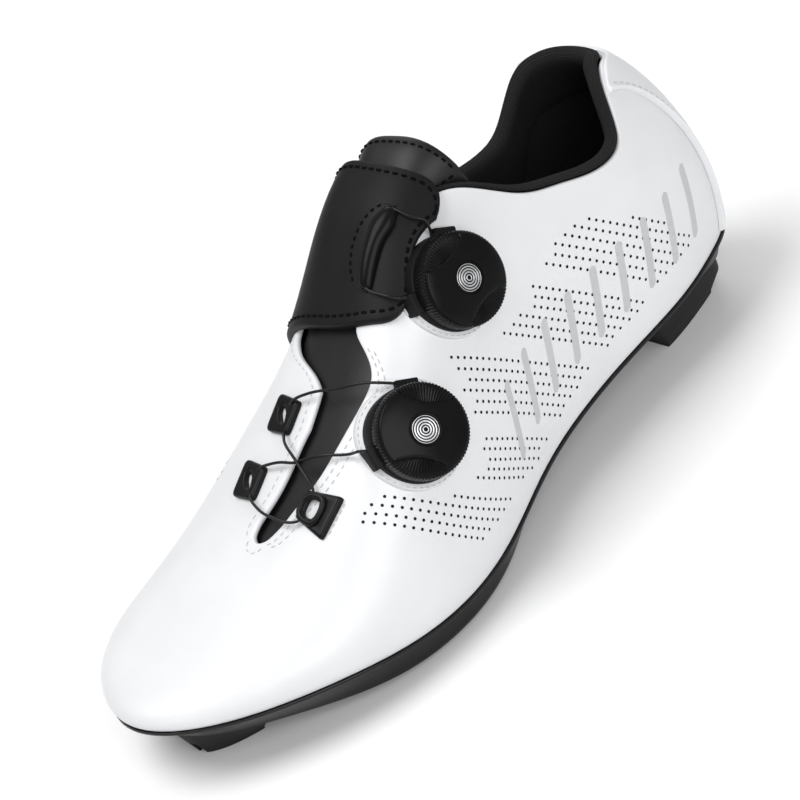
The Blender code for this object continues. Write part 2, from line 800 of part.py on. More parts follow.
def build_counter():
    """Heel counter over the upper, thicker along its seam."""
    across = np.array([-1, -0.96, -0.91, -0.8, -0.6, -0.3, 0, 0.3, 0.6, 0.8, 0.91, 0.96, 1])
    up = np.linspace(0, 1, 11)
    seam = column(COUNTER, 1)(up)
    theta = across[:, None] * np.arccos(1 - 2 * seam)[None, :]
    top = opening_share(theta.ravel()).reshape(theta.shape) - 0.006
    share = 0.02 + (top - 0.02) * up[None, :]
    rise = SEAM_RISE * np.exp(-((np.abs(across) - 0.95) / 0.045) ** 2)[:, None] * np.ones_like(share)
    outer = on_last(theta, share, SEAT + COUNTER_THICK + rise)
    inner = on_last(theta, share, SEAT)
    return slab("heel_counter", outer, inner, white_leather())


def build_lining():
    """Padded lining round the collar, rolled over the edge of the upper."""
    side = UPPER_STATIONS[(1 - np.cos(UPPER_STATIONS)) / 2 < LINING_END + 1e-6]
    loop = np.concatenate([-side[:0:-1], side])
    edge = opening_share(loop)
    _, girth = girth_angle(loop, edge)
    ends = np.exp(-((np.abs(loop) - station(LINING_END)) / 0.06) ** 2)
    inside = -(UPPER_WALL + SEAT * 1.5)
    near_heel = np.exp(-((1 - np.cos(loop)) / 2 / HEEL_ROLL_REACH) ** 2)
    pad, roll, depth = LINING_PAD, LINING_ROLL + HEEL_ROLL * near_heel, LINING_DEPTH
    profile = (
        (-depth, inside), (-depth * 0.6, inside), (-depth * 0.25, inside), (GAP * 1.5, inside),
        (GAP * 2.0, -0.25 * UPPER_WALL),
        (roll * 0.5, -0.05 * UPPER_WALL), (roll * 0.85, -0.5 * UPPER_WALL), (roll, inside),
        (roll * 0.8, inside - pad * 0.6), (0.0, inside - pad), (-depth * 0.4, inside - pad),
        (-depth * 0.8, inside - pad * 0.7), (-depth, inside - pad * 0.35),
    )
    rings = []
    for up, out in profile:
        rings.append(on_last(loop, edge + up / girth, out - ends * SEAT * 2.8))
    grid = np.stack(rings, 1)
    count, size = grid.shape[:2]
    faces = []
    for i in range(count - 1):
        for j in range(size):
            after = (j + 1) % size
            faces.append((i * size + j, (i + 1) * size + j, (i + 1) * size + after, i * size + after))
    faces.append(tuple(range(size)))
    faces.append(tuple((count - 1) * size + j for j in reversed(range(size))))
    return make_object("collar_lining", grid.reshape(-1, 3), faces, black_mesh())


def build_tongue():
    """Tongue under the throat, its top standing clear above the strap."""
    along = np.array([0.338, 0.340, 0.344, 0.352, 0.365, 0.385, 0.42, 0.46, 0.50, 0.54, 0.58,
                      0.62, 0.66, 0.70, 0.74, 0.77, 0.787, 0.795])
    reach = {1: column(TONGUE, 1), -1: column(TONGUE, 2)}
    lift_at = column(TONGUE, 3)
    across = np.array([-1, -0.88, -0.6, -0.3, 0, 0.3, 0.6, 0.88, 1])
    rows_along = np.repeat(along[:, None], len(across), axis=1)
    width = np.where(across >= 0, reach[1](rows_along), reach[-1](rows_along)) * BALL_WIDTH
    theta = np.arccos(1 - 2 * along)
    _, outer_girth = girth_angle(theta, np.ones_like(theta))
    _, inner_girth = girth_angle(-theta, np.ones_like(theta))
    girth = np.where(across >= 0, outer_girth[:, None], inner_girth[:, None])
    place = np.abs(across) * width / girth * np.where(across >= 0, 1, -1)
    raised = np.maximum(lift_at(rows_along), 0) * BALL_WIDTH
    top = -(UPPER_WALL + SEAT * 2.4) + raised
    fade = np.clip((TONGUE_STRAIGHT - rows_along) / (TONGUE_STRAIGHT - TONGUE[0][0]), 0, 1)
    leaning = rows_along - TONGUE_SLANT * place * fade
    outer = over_ridge(leaning, place, top)
    inner = over_ridge(leaning, place, top - TONGUE_THICK)
    return slab("tongue", outer, inner, black_leather())


def strap_grid(height):
    girth = np.array([0.277, 0.268, 0.25, 0.225, 0.19, 0.14, 0.09, 0.04, 0.0, -0.04, -0.09, -0.14, -0.2,
                      -0.27, -0.34, -0.42, -0.5, -0.6, -0.7, -0.8, -0.9, -0.97])
    table = sorted(STRAP)
    rear, front = column(table, 1)(girth), column(table, 2)(girth)
    across = np.linspace(0, 1, 8)
    along = rear[:, None] + (front - rear)[:, None] * across[None, :]
    return over_ridge(along, np.repeat(girth[:, None], len(across), axis=1), height)


def build_strap():
    """Strap from the sole on the inner side, over the instep to its free end."""
    strap = slab("strap", strap_grid(SEAT + STRAP_THICK), strap_grid(SEAT), black_leather())
    clear = upright("strap cut tool", round_plan(0, 0, DIAL_CLEAR_RADIUS, 36), SUNK * 2, -SUNK * 2)
    clear.matrix_world = seat_frame(DIALS[0][1], 1, DIALS[0][2])
    combine(strap, clear, "DIFFERENCE")
    return strap


def seat_frame(along, side, share, turn=0.0):
    """Frame on the last: Z away from the foot, X towards the throat, turned about Z."""
    theta = side * station(along)
    step = 0.01
    origin = on_last(theta, share)
    up = on_last(theta, share + step) - on_last(theta, share - step)
    phi, _ = girth_angle(np.array([theta]), np.array([share]))
    normal = Vector(outward(np.array([theta]), phi)[0])
    x_axis = Vector(up)
    x_axis = (x_axis - normal * x_axis.dot(normal)).normalized()
    y_axis = normal.cross(x_axis)
    frame = Matrix((x_axis, y_axis, normal)).transposed().to_4x4()
    frame.translation = Vector(origin)
    return frame @ Matrix.Rotation(math.radians(turn), 4, "Z")


def turned_solid(name, profile, finish, segments=48):
    """Solid turned about Z from a profile of radius and height that starts and ends on the axis."""
    rings = [np.column_stack([round_plan(0, 0, r, segments), np.full(segments, z)]) for r, z in profile]
    points = np.concatenate(rings + [np.array([[0, 0, profile[0][1]], [0, 0, profile[-1][1]]])])
    faces = []
    for level in range(len(profile) - 1):
        low, high = level * segments, (level + 1) * segments
        for i in range(segments):
            after = (i + 1) % segments
            faces.append((low + i, low + after, high + after, high + i))
    bottom, top = len(points) - 2, len(points) - 1
    start = (len(profile) - 1) * segments
    for i in range(segments):
        after = (i + 1) % segments
        faces.append((after, i, bottom))
        faces.append((start + i, start + after, top))
    return make_object(name, points, faces, finish)


def build_dials(skins):
    for name, along, share in DIALS:
        frame = seat_frame(along, 1, share)
        build_dial_patch(name, frame, skins)
        build_dial_base(name, frame, skins)
        build_dial_knob(name, frame)


SUNK = -0.008


def build_dial_patch(name, frame, skins):
    """Thin white collar between the upper and the dial's base."""
    profile = ((DIAL_PATCH_RADIUS, SUNK), (DIAL_PATCH_RADIUS, -SUNK))
    patch = turned_solid(f"dial_patch_{name}", profile, white_leather(), 36)
    patch.matrix_world = frame
    combine(patch, skins["patch_top"], "INTERSECT")
    combine(patch, skins["upper"], "DIFFERENCE")
    if name == "upper":
        edge, reach = 0.006, DIAL_PATCH_RADIUS * 1.5
        plan = [(edge, -reach), (reach, -reach), (reach, reach), (edge, reach)]
        trim = upright("dial patch trim tool", plan, SUNK * 2, -SUNK * 2)
        trim.matrix_world = frame
        combine(patch, trim, "DIFFERENCE")


def upright(name, plan, low, high):
    """Upright tool in its own frame."""
    plan = np.asarray(plan, float)
    levels = [np.column_stack([plan, np.full(len(plan), z)]) for z in (low, high)]
    return hide_tool(ring_solid(name, levels, sole_nylon()))


def build_dial_base(name, frame, skins):
    """Housing under the knob, with two lugs where the lace ends leave."""
    profile = ((DIAL_BASE_RADIUS, SUNK), (DIAL_BASE_RADIUS, DIAL_BASE_TOP - 0.0007),
               (DIAL_BASE_RADIUS - 0.0007, DIAL_BASE_TOP))
    base = turned_solid(f"dial_base_{name}", profile, dial_plastic(), 36)
    base.matrix_world = frame
    for number, turn in enumerate(DIAL_LUG_TURNS, 1):
        half, reach = DIAL_LUG_WIDTH / 2, DIAL_LUG_REACH
        plan = [(0.006, -half), (reach - 0.001, -half), (reach, -half * 0.7), (reach, half * 0.7),
                (reach - 0.001, half), (0.006, half)]
        lug = upright(f"dial lug tool {name} {number}", plan, SUNK * 0.9, DIAL_BASE_TOP - 0.0009)
        lug.matrix_world = frame @ Matrix.Rotation(math.radians(turn), 4, "Z")
        combine(base, lug, "UNION")
    combine(base, skins["patch"], "DIFFERENCE")


def build_dial_knob(name, frame):
    """Knob with a raised three-sided cover and a round centre."""
    low, segments = DIAL_BASE_TOP + GAP, 30
    rim = low + DIAL_KNOB_HEIGHT * 0.80
    top = low + DIAL_KNOB_HEIGHT
    turn = np.linspace(0, 2 * math.pi, segments, endpoint=False)
    lobe = 1 - 0.055 * (1 - np.cos(3 * turn))

    def ring(radius, z, shape=1.0):
        return np.column_stack([radius * shape * np.cos(turn), radius * shape * np.sin(turn), np.full(segments, z)])
    cover, centre = DIAL_RADIUS * 0.93, DIAL_RADIUS * 0.34
    rings = [
        ring(DIAL_RADIUS * 0.95, low), ring(DIAL_RADIUS, low + 0.0010), ring(DIAL_RADIUS, rim - 0.0012),
        ring(DIAL_RADIUS * 0.95, rim), ring(cover, rim + 0.0001, lobe), ring(cover * 0.92, top, lobe),
        ring(centre, top - 0.0004), ring(centre * 0.94, top),
    ]
    points = np.concatenate(rings + [np.array([[0, 0, low], [0, 0, top]])])
    faces = []
    for level in range(len(rings) - 1):
        for i in range(segments):
            after = (i + 1) % segments
            a, b = level * segments, (level + 1) * segments
            faces.append((a + i, a + after, b + after, b + i))
    start = (len(rings) - 1) * segments
    for i in range(segments):
        after = (i + 1) % segments
        faces.append((after, i, len(points) - 2))
        faces.append((start + i, start + after, len(points) - 1))
    knob = make_object(f"dial_knob_{name}", points, faces, dial_plastic())
    knob.matrix_world = frame


def framed_plate(name, outline, window, low, high, finish):
    """Plate with a window: outline and window have as many points each."""
    rings = []
    for plan, z in ((window, low), (outline, low), (outline, high - 0.0006), (shrink(outline, 0.0006), high),
                    (window, high)):
        rings.append(np.column_stack([plan, np.full(len(plan), z)]))
    return tube_solid(name, rings, finish)


def shrink(plan, amount):
    """Outline drawn in towards its middle."""
    plan = np.asarray(plan, float)
    middle = plan.mean(0)
    away = plan - middle
    return middle + away * (1 - amount / np.linalg.norm(away, axis=1, keepdims=True))


def rounded_box_plan(length, width, taper, count=16):
    """Superellipse outline: length along Y, width along X, narrower by taper towards +X."""
    turn = np.linspace(0, 2 * math.pi, count, endpoint=False)
    cosine, sine = np.cos(turn), np.sin(turn)
    x = np.sign(cosine) * np.abs(cosine) ** 0.4 * width / 2
    y = np.sign(sine) * np.abs(sine) ** 0.4 * length / 2
    return np.column_stack([x, y * (1 - taper * x / width)])


def oval_plan(length, width, x=0.0, count=16):
    turn = np.linspace(0, 2 * math.pi, count, endpoint=False)
    return np.column_stack([x + np.cos(turn) * width / 2, np.sin(turn) * length / 2])


def build_guides(skins):
    """Lace guides: two on the inner flap and a loop on a tab on the outer one."""
    for name, along, side, share, turn in GUIDES:
        plate = framed_plate(f"lace_guide_{name}", rounded_box_plan(0.0145, 0.0090, 0.1),
                             oval_plan(0.0075, 0.0034), SUNK * 0.4, GUIDE_THICK, dial_plastic())
        plate.matrix_world = seat_frame(along, side, share, turn)
        combine(plate, skins["upper"], "DIFFERENCE")
    along, side, share, turn = OUTER_GUIDE
    loop = framed_plate("lace_guide_outer", rounded_box_plan(0.0125, 0.0135, 0.45),
                        oval_plan(0.0062, 0.0058, 0.0018), SUNK * 0.4, GUIDE_THICK, dial_plastic())
    loop.matrix_world = seat_frame(along, side, share, turn)
    combine(loop, skins["upper"], "DIFFERENCE")


def build_strap_guide():
    """Crescent on the strap that carries the upper lace."""
    frame = seat_frame(*STRAP_GUIDE)
    bend = np.linspace(-1, 1, 11)
    length, sag = STRAP_GUIDE_LENGTH, 0.0036
    y = bend * length / 2
    middle = sag * (1 - bend**2)
    half = 0.0030 * np.sqrt(np.maximum(1 - bend**2, 0)) + 0.0004
    near = np.column_stack([middle - half, y])
    far = np.column_stack([middle + half, y])[::-1]
    plan = np.concatenate([near, far])
    strap_top = SEAT + STRAP_THICK
    rings = [
        np.column_stack([plan, np.full(len(plan), SUNK * 0.35)]),
        np.column_stack([plan, np.full(len(plan), strap_top + 0.0016)]),
        np.column_stack([shrink(plan, 0.0010), np.full(len(plan), strap_top + 0.0026)]),
    ]
    crescent = ring_solid("strap_guide", rings, dial_plastic())
    crescent.matrix_world = frame
    under = slab("strap seat tool", strap_grid(strap_top + GAP), strap_grid(-0.006), black_leather())
    combine(crescent, under, "DIFFERENCE")


def tube(name, route, radius, finish, sides=6):
    """Round cord along a smooth curve through its route's points."""
    route = np.asarray(route, float)
    run = np.concatenate([[0], np.cumsum(np.linalg.norm(np.diff(route, axis=0), axis=1))])
    steps = max(4, int(run[-1] / (5 * radius)))
    at = np.linspace(0, run[-1], steps + 1)
    path = np.column_stack([natural_curve(run, route[:, axis])(at) for axis in range(3)])
    heading = np.gradient(path, axis=0)
    heading /= np.linalg.norm(heading, axis=1, keepdims=True)
    rings, across = [], None
    turn = np.linspace(0, 2 * math.pi, sides, endpoint=False)
    for point, ahead in zip(path, heading):
        ahead = Vector(ahead)
        guide = across if across else Vector((0, 0, 1))
        across = (guide - ahead * guide.dot(ahead)).normalized()
        other = ahead.cross(across)
        ring = [Vector(point) + across * math.cos(t) * radius + other * math.sin(t) * radius for t in turn]
        rings.append(np.array(ring))
    return ring_solid(name, rings, finish)


# Lace routes between their ends. along: LENGTH; girth: share from the ridge, outer side
# positive; height: metres above the last
DIAL_TO_UPPER_GUIDE = ((0.582, 0.190, 0.0044), (0.592, 0.140, 0.0038), (0.602, 0.080, 0.0034), (0.611, 0.010, 0.0036), (0.618, -0.050, 0.0032))
UPPER_GUIDE_TO_OUTER = ((0.668, -0.070, 0.0030), (0.680, 0.000, 0.0038), (0.688, 0.060, 0.0036), (0.694, 0.115, 0.0030))
LOWER_GUIDE_TO_DIAL = ((0.690, -0.100, 0.0032), (0.685, -0.040, 0.0036), (0.679, 0.010, 0.0038), (0.668, 0.090, 0.0034),
                       (0.657, 0.160, 0.0030))
OUTER_TO_LOWER_GUIDE = ((0.742, 0.130, 0.0030), (0.745, 0.060, 0.0034), (0.745, 0.000, 0.0036), (0.742, -0.060, 0.0034),
                        (0.738, -0.110, 0.0030))
UPPER_DIAL_TO_STRAP = ((0.407, 0.212, 0.0052), (0.411, 0.190, 0.0050), (0.418, 0.165, 0.0042))
STRAP_TO_UPPER_DIAL = ((0.506, 0.170, 0.0042), (0.500, 0.210, 0.0042))


def in_frame(frame, x, y, z):
    return np.array(frame @ Vector((x, y, z)))


def dial_exit(number, lug):
    """End of the lace beside a dial's lug."""
    along, share = DIALS[number][1:]
    frame = seat_frame(along, 1, share) @ Matrix.Rotation(math.radians(DIAL_LUG_TURNS[lug]), 4, "Z")
    clear = LACE_RADIUS + GAP
    if lug == 0:
        return in_frame(frame, DIAL_LUG_REACH + GAP * 2, 0, 0.0022)
    return in_frame(frame, DIAL_LUG_REACH - 0.0006, -DIAL_LUG_WIDTH / 2 - clear, 0.0014)


def guide_end(number, x, y):
    along, side, share, turn = (*[g[1:] for g in GUIDES], OUTER_GUIDE)[number]
    return in_frame(seat_frame(along, side, share, turn), x, y, 0.0018)


def lace_route(start, table, end):
    middle = [over_ridge(along, girth, height) for along, girth, height in table]
    return np.array([start, *middle, end])


def build_laces():
    """Lace between dials and guides; the two runs that cross are one solid."""
    strap_frame = seat_frame(*STRAP_GUIDE)
    strap_lace = SEAT + STRAP_THICK + 0.0012
    tips = [in_frame(strap_frame, -0.0018, end * STRAP_GUIDE_LENGTH * 0.46, strap_lace) for end in (-1, 1)]
    heel_ends = [guide_end(number, 0.0048, 0.0048) for number in (0, 1)]
    toe_ends = [guide_end(number, 0.0002, -0.0079) for number in (0, 1)]
    outer_heel, outer_toe = guide_end(2, 0.0025, -0.0066), guide_end(2, 0.0025, 0.0066)
    singles = (
        ("lace_lower_front", dial_exit(1, 0), DIAL_TO_UPPER_GUIDE, heel_ends[0]),
        ("lace_lower_end", outer_toe, OUTER_TO_LOWER_GUIDE, toe_ends[1]),
        ("lace_upper_rear", dial_exit(0, 0), UPPER_DIAL_TO_STRAP, tips[0]),
        ("lace_upper_front", tips[1], STRAP_TO_UPPER_DIAL, dial_exit(0, 1)),
    )
    for name, start, table, end in singles:
        tube(name, lace_route(start, table, end), LACE_RADIUS, lace_cord())
    across = lace_route(toe_ends[0], UPPER_GUIDE_TO_OUTER, outer_heel)
    back = lace_route(heel_ends[1], LOWER_GUIDE_TO_DIAL, dial_exit(1, 1))
    crossing = tube("lace_lower_cross", across, LACE_RADIUS, lace_cord())
    combine(crossing, tube("crossing lace tool", back, LACE_RADIUS, lace_cord()), "UNION")


def clear_scene():
    for obj in list(bpy.data.objects):
        bpy.data.objects.remove(obj, do_unlink=True)


def set_on_origin():
    """Carry everything on one empty, with the middle of the shoe's box over the origin."""
    bpy.context.view_layer.update()
    graph = bpy.context.evaluated_depsgraph_get()
    shown = [obj for obj in bpy.data.objects if obj.type == "MESH" and not obj.hide_render]
    corners = []
    for obj in shown:
        evaluated = obj.evaluated_get(graph)
        corners += [obj.matrix_world @ vert.co for vert in evaluated.to_mesh().vertices]
        evaluated.to_mesh_clear()
    low = [min(c[axis] for c in corners) for axis in range(3)]
    high = [max(c[axis] for c in corners) for axis in range(3)]
    carrier = bpy.data.objects.new("shoe carrier", None)
    bpy.context.scene.collection.objects.link(carrier)
    for obj in bpy.data.objects:
        if obj.type == "MESH":
            obj.parent = carrier
    carrier.location = (-(low[0] + high[0]) / 2, -(low[1] + high[1]) / 2, -low[2])
    bpy.context.view_layer.update()


def main():
    clear_scene()
    skins = {
        "upper": last_body("upper skin tool", SEAT),
        "patch_top": last_body("patch top tool", SEAT + DIAL_PATCH_THICK),
        "patch": last_body("patch skin tool", SEAT + DIAL_PATCH_THICK + GAP),
    }
    build_outsole()
    build_cleat_nuts()
    build_heel_tread()
    build_toe_tread()
    build_insole()
    build_upper()
    build_counter()
    build_lining()
    build_tongue()
    build_strap()
    build_strap_guide()
    build_dials(skins)
    build_guides(skins)
    build_laces()
    set_on_origin()


main()
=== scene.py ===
"""Looks of a left road cycling shoe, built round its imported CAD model.

Metres, in the model's own frame: +X to the toe, +Y to the outer side, +Z up, floor at z = 0.
"""
import math

import bmesh
import bpy
import numpy as np
from mathutils import Matrix, Vector
from mathutils.bvhtree import BVHTree


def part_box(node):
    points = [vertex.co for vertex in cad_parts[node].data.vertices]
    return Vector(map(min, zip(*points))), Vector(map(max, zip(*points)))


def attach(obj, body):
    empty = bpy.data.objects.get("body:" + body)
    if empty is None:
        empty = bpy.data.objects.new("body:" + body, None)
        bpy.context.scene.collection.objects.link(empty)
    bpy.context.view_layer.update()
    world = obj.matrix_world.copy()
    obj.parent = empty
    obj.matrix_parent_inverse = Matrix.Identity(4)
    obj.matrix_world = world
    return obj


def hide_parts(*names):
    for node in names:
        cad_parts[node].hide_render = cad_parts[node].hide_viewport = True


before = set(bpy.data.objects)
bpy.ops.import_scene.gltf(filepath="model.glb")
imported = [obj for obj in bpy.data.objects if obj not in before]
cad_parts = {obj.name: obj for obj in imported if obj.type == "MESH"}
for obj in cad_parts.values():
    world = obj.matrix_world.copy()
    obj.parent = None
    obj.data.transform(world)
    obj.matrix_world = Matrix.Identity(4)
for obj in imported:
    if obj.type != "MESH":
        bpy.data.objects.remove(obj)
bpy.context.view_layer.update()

# Driving sizes of the last
LENGTH = 0.276
BALL_WIDTH = 0.096
INSTEP_HEIGHT = 0.108
HEEL_SEAT = 0.021

# Walls and clearances
GAP = 0.0003
SEAT = 0.0005
UPPER_WALL = 0.0022
LINING_PAD = 0.0036
LINING_DEPTH = 0.024
LINING_ROLL = 0.0036
HEEL_ROLL = 0.0024
HEEL_ROLL_REACH = 0.075
TONGUE_THICK = 0.0026
STRAP_THICK = 0.0020
COUNTER_THICK = 0.0009
SEAM_RISE = 0.0007
INSOLE_THICK = 0.0032

# Sole
SOLE_RIM = 0.0008
RIM_THICK = 0.0013
PLATFORM_BEVEL = 0.0010
RECESS_DEPTH = 0.0020
VENT_DEPTH = 0.0022
CLEAT_SLOT_WIDTH = 0.0070
CLEAT_SLOT_LENGTH = 0.026
CLEAT_SLOT_DEPTH = 0.0040
CLEAT_ACROSS = 0.0165
CLEAT_ALONG = 0.690
NUT_RADIUS = 0.0031
NUT_HOLE = 0.0019
NUT_HEIGHT = 0.0020
NUT_PITCH = 0.0110
SCREW_HOLE_RADIUS = 0.0026
HEEL_TREAD_END = 0.178
TOE_TREAD_START = 0.915

# Lace dials, guides and cord
DIAL_RADIUS = 0.0157
DIAL_BASE_RADIUS = 0.0160
DIAL_PATCH_RADIUS = DIAL_BASE_RADIUS + 0.0020
DIAL_PATCH_THICK = 0.0013
DIAL_BASE_TOP = 0.0034
DIAL_KNOB_HEIGHT = 0.0086
DIAL_LUG_REACH = DIAL_BASE_RADIUS + 0.0018
DIAL_LUG_WIDTH = 0.0075
DIAL_LUG_TURNS = (-32, 78)
LACE_RADIUS = 0.00065
CORD_RADIUS = 0.00050
GUIDE_THICK = 0.0026
STRAP_GUIDE_LENGTH = 0.0280
STRAP_GUIDE_BOW = 0.0018

HEEL_PIVOT = 0.125
TOE_PIVOT = 0.82
PIVOT_BLEND = 0.07
TOE_SLOPE = -0.36
TOE_ACROSS = -0.045

# Feather edge. along: share of LENGTH; outer, inner: shares of BALL_WIDTH
OUTLINE = (
    (0.025, 0.202, 0.188),
    (0.075, 0.277, 0.280),
    (0.150, 0.328, 0.330),
    (0.270, 0.333, 0.324),
    (0.400, 0.358, 0.312),
    (0.520, 0.449, 0.343),
    (0.620, 0.510, 0.437),
    (0.725, 0.514, 0.500),
    (0.815, 0.457, 0.508),
    (0.890, 0.352, 0.464),
    (0.945, 0.240, 0.360),
    (0.982, 0.120, 0.218),
)
# Side profile. along: LENGTH; seat: HEEL_SEAT; ridge: INSTEP_HEIGHT; ridge_side: BALL_WIDTH
PROFILE = (
    (0.000, 1.26, 0.975, 0.000),
    (0.125, 1.18, 1.030, -0.010),
    (0.270, 1.06, 1.120, -0.050),
    (0.370, 0.92, 1.140, -0.065),
    (0.460, 0.77, 1.030, -0.030),
    (0.550, 0.56, 0.830, 0.045),
    (0.640, 0.51, 0.670, 0.085),
    (0.730, 0.63, 0.525, 0.070),
    (0.820, 0.84, 0.415, 0.010),
    (0.910, 1.00, 0.340, -0.050),
    (1.000, 1.20, 0.280, -0.100),
)
# Cross-section. along: LENGTH; square: exponent of the superellipse; bulge: BALL_WIDTH
FORM = (
    (0.00, 2.45, 0.030),
    (0.15, 2.95, 0.030),
    (0.35, 2.95, 0.018),
    (0.55, 2.95, 0.020),
    (0.75, 2.80, 0.030),
    (0.90, 2.40, 0.030),
    (1.00, 1.95, 0.026),
)
# Edge of the collar and throat. along: LENGTH; outer, inner: shares of the girth
OPENING = (
    (0.000, 0.745, 0.745),
    (0.030, 0.777, 0.777),
    (0.070, 0.768, 0.785),
    (0.100, 0.712, 0.755),
    (0.115, 0.655, 0.700),
    (0.130, 0.590, 0.620),
    (0.145, 0.562, 0.550),
    (0.170, 0.550, 0.500),
    (0.200, 0.557, 0.495),
    (0.235, 0.580, 0.510),
    (0.285, 0.622, 0.560),
    (0.345, 0.738, 0.680),
    (0.400, 0.797, 0.775),
    (0.470, 0.835, 0.800),
    (0.520, 0.885, 0.790),
    (0.545, 0.900, 0.780),
    (0.554, 0.862, 0.785),
    (0.563, 0.828, 0.805),
    (0.576, 0.807, 0.850),
    (0.590, 0.808, 0.935),
    (0.603, 0.815, 0.985),
    (0.650, 0.843, 0.985),
    (0.690, 0.868, 0.972),
    (0.725, 0.910, 0.957),
    (0.745, 0.930, 0.946),
    (0.757, 0.950, 0.952),
    (0.763, 0.970, 0.970),
    (0.767, 1.000, 1.000),
)
THROAT_END = 0.767
LINING_END = 0.368
# Underside of the sole. along: LENGTH; height: HEEL_SEAT; inset: BALL_WIDTH
PLATFORM = (
    (0.00, 0.70, 0.040),
    (0.03, 0.68, 0.060),
    (0.09, 0.66, 0.100),
    (0.18, 0.65, 0.115),
    (0.26, 0.65, 0.120),
    (0.35, 0.60, 0.110),
    (0.46, 0.43, 0.060),
    (0.56, 0.19, 0.018),
    (0.66, 0.11, 0.012),
    (0.75, 0.17, 0.030),
    (0.83, 0.32, 0.064),
    (0.89, 0.44, 0.090),
    (0.95, 0.60, 0.104),
    (1.00, 0.86, 0.100),
)
# Seam of the heel counter. up: share of the counter's height; along: LENGTH
COUNTER = (
    (0.00, 0.047),
    (0.15, 0.037),
    (0.30, 0.031),
    (0.45, 0.030),
    (0.60, 0.035),
    (0.72, 0.043),
    (0.84, 0.058),
    (0.93, 0.078),
    (1.00, 0.098),
)
# Strap. girth: share of the girth from the ridge, outer side positive; rear, front: LENGTH
STRAP = (
    (0.275, 0.420, 0.474),
    (0.270, 0.408, 0.484),
    (0.260, 0.392, 0.496),
    (0.240, 0.376, 0.509),
    (0.215, 0.369, 0.518),
    (0.158, 0.372, 0.529),
    (0.100, 0.379, 0.537),
    (0.000, 0.384, 0.545),
    (-0.150, 0.388, 0.549),
    (-0.300, 0.385, 0.545),
    (-0.500, 0.360, 0.525),
    (-0.750, 0.305, 0.475),
    (-0.970, 0.255, 0.428),
)
# Tongue. along: LENGTH; outer, inner: BALL_WIDTH from the ridge; lift: BALL_WIDTH
TONGUE = (
    (0.338, 0.170, 0.130, 0.042),
    (0.342, 0.222, 0.175, 0.041),
    (0.350, 0.245, 0.200, 0.036),
    (0.364, 0.246, 0.215, 0.022),
    (0.385, 0.243, 0.240, 0.000),
    (0.410, 0.252, 0.255, 0.000),
    (0.450, 0.265, 0.260, 0.000),
    (0.560, 0.275, 0.240, 0.000),
    (0.640, 0.240, 0.180, 0.000),
    (0.720, 0.190, 0.160, 0.000),
    (0.780, 0.130, 0.130, 0.000),
    (0.795, 0.080, 0.080, 0.000),
)
# How far the tongue's rear edge leans to the heel on the outer side, and where that ends
TONGUE_SLANT = 0.107
TONGUE_STRAIGHT = 0.450
# How far the outer edge of its top reaches on, and how deep it tucks in behind the lining
TONGUE_WING = 0.58
TONGUE_TUCK = 0.0085
# Lace dials. along: LENGTH; girth: share from the feather edge, on the outer side
DIALS = (
    ("upper", 0.435, 0.622),
    ("lower", 0.589, 0.587),
)
# Lace guides. along: LENGTH; side: 1 outer, -1 inner; girth share; turn in degrees
GUIDES = (
    ("medial_upper", 0.636, -1, 0.864, 20.0),
    ("medial_lower", 0.707, -1, 0.806, 20.0),
)
OUTER_GUIDE = (0.715, 1, 0.776, 0.0)
STRAP_GUIDE = (0.4635, 1, 0.854, 15.0)
# Rows of pinholes, in mm from the heel and from the feather edge. start: where the row's
# line meets the edge; low, high: how far up it runs
PINHOLES = (
    (11.9, 26.0, 41.0), (15.8, 15.6, 51.0), (19.9, 13.2, 53.8), (24.2, 13.6, 54.5),
    (28.6, 14.0, 54.6), (33.0, 13.6, 52.6), (37.4, 13.8, 53.1),
    (47.5, 12.2, 50.6), (51.6, 11.2, 48.2), (55.7, 11.2, 46.3), (60.0, 11.4, 47.4),
    (64.1, 11.4, 48.2), (68.1, 10.4, 49.4),
    (78.9, 10.3, 62.8), (83.2, 10.3, 58.1), (87.3, 8.8, 52.6), (91.4, 8.8, 50.8),
    (95.6, 8.7, 45.2), (99.8, 7.4, 43.9),
    (110.0, 6.9, 34.1), (113.9, 8.0, 32.3), (118.0, 5.8, 30.0), (121.8, 6.6, 28.4),
    (125.3, 9.0, 29.8),
    (133.7, 10.4, 34.6), (137.8, 11.0, 49.2), (141.9, 11.4, 49.0), (146.0, 12.6, 48.2),
    (150.1, 12.8, 47.7),
)
PINHOLE_SLOPE = 0.93
PINHOLE_STEP = 2.2
PINHOLE_RADIUS = 0.00056
# Section of the sole's rim: shares of SOLE_RIM outwards and of RIM_THICK upwards
RIM_SECTION = ((0.45, 0.02), (0.8, 0.10), (0.97, 0.28), (1.0, 0.5), (0.97, 0.72), (0.85, 0.92), (0.7, 1.0))
# Printed rings of a dial: radius, width
DIAL_RINGS = ((0.0009, 0.00038), (0.0018, 0.00050), (0.0027, 0.00052), (0.0036, 0.00046), (0.0044, 0.00022))
# Turn of each knob in degrees, in the order of DIALS
KNOB_TURNS = (5.0, 133.0)
# Round part of the knob's cover as a share of its radius, and the depth of the notches round it
KNOB_COVER = 0.955
KNOB_NOTCH = 0.00032
# Plates of the guides: length, width, taper; and their windows: length, width, place, lean in degrees
MEDIAL_PLATE = (0.0124, 0.0108, 0.1)
MEDIAL_WINDOW = (0.0064, 0.0030, 0.0, 40.0)
MEDIAL_TURN = -24
OUTER_PLATE = (0.0125, 0.0135, 0.45)
OUTER_WINDOW = (0.0062, 0.0058, 0.0018, 0.0)
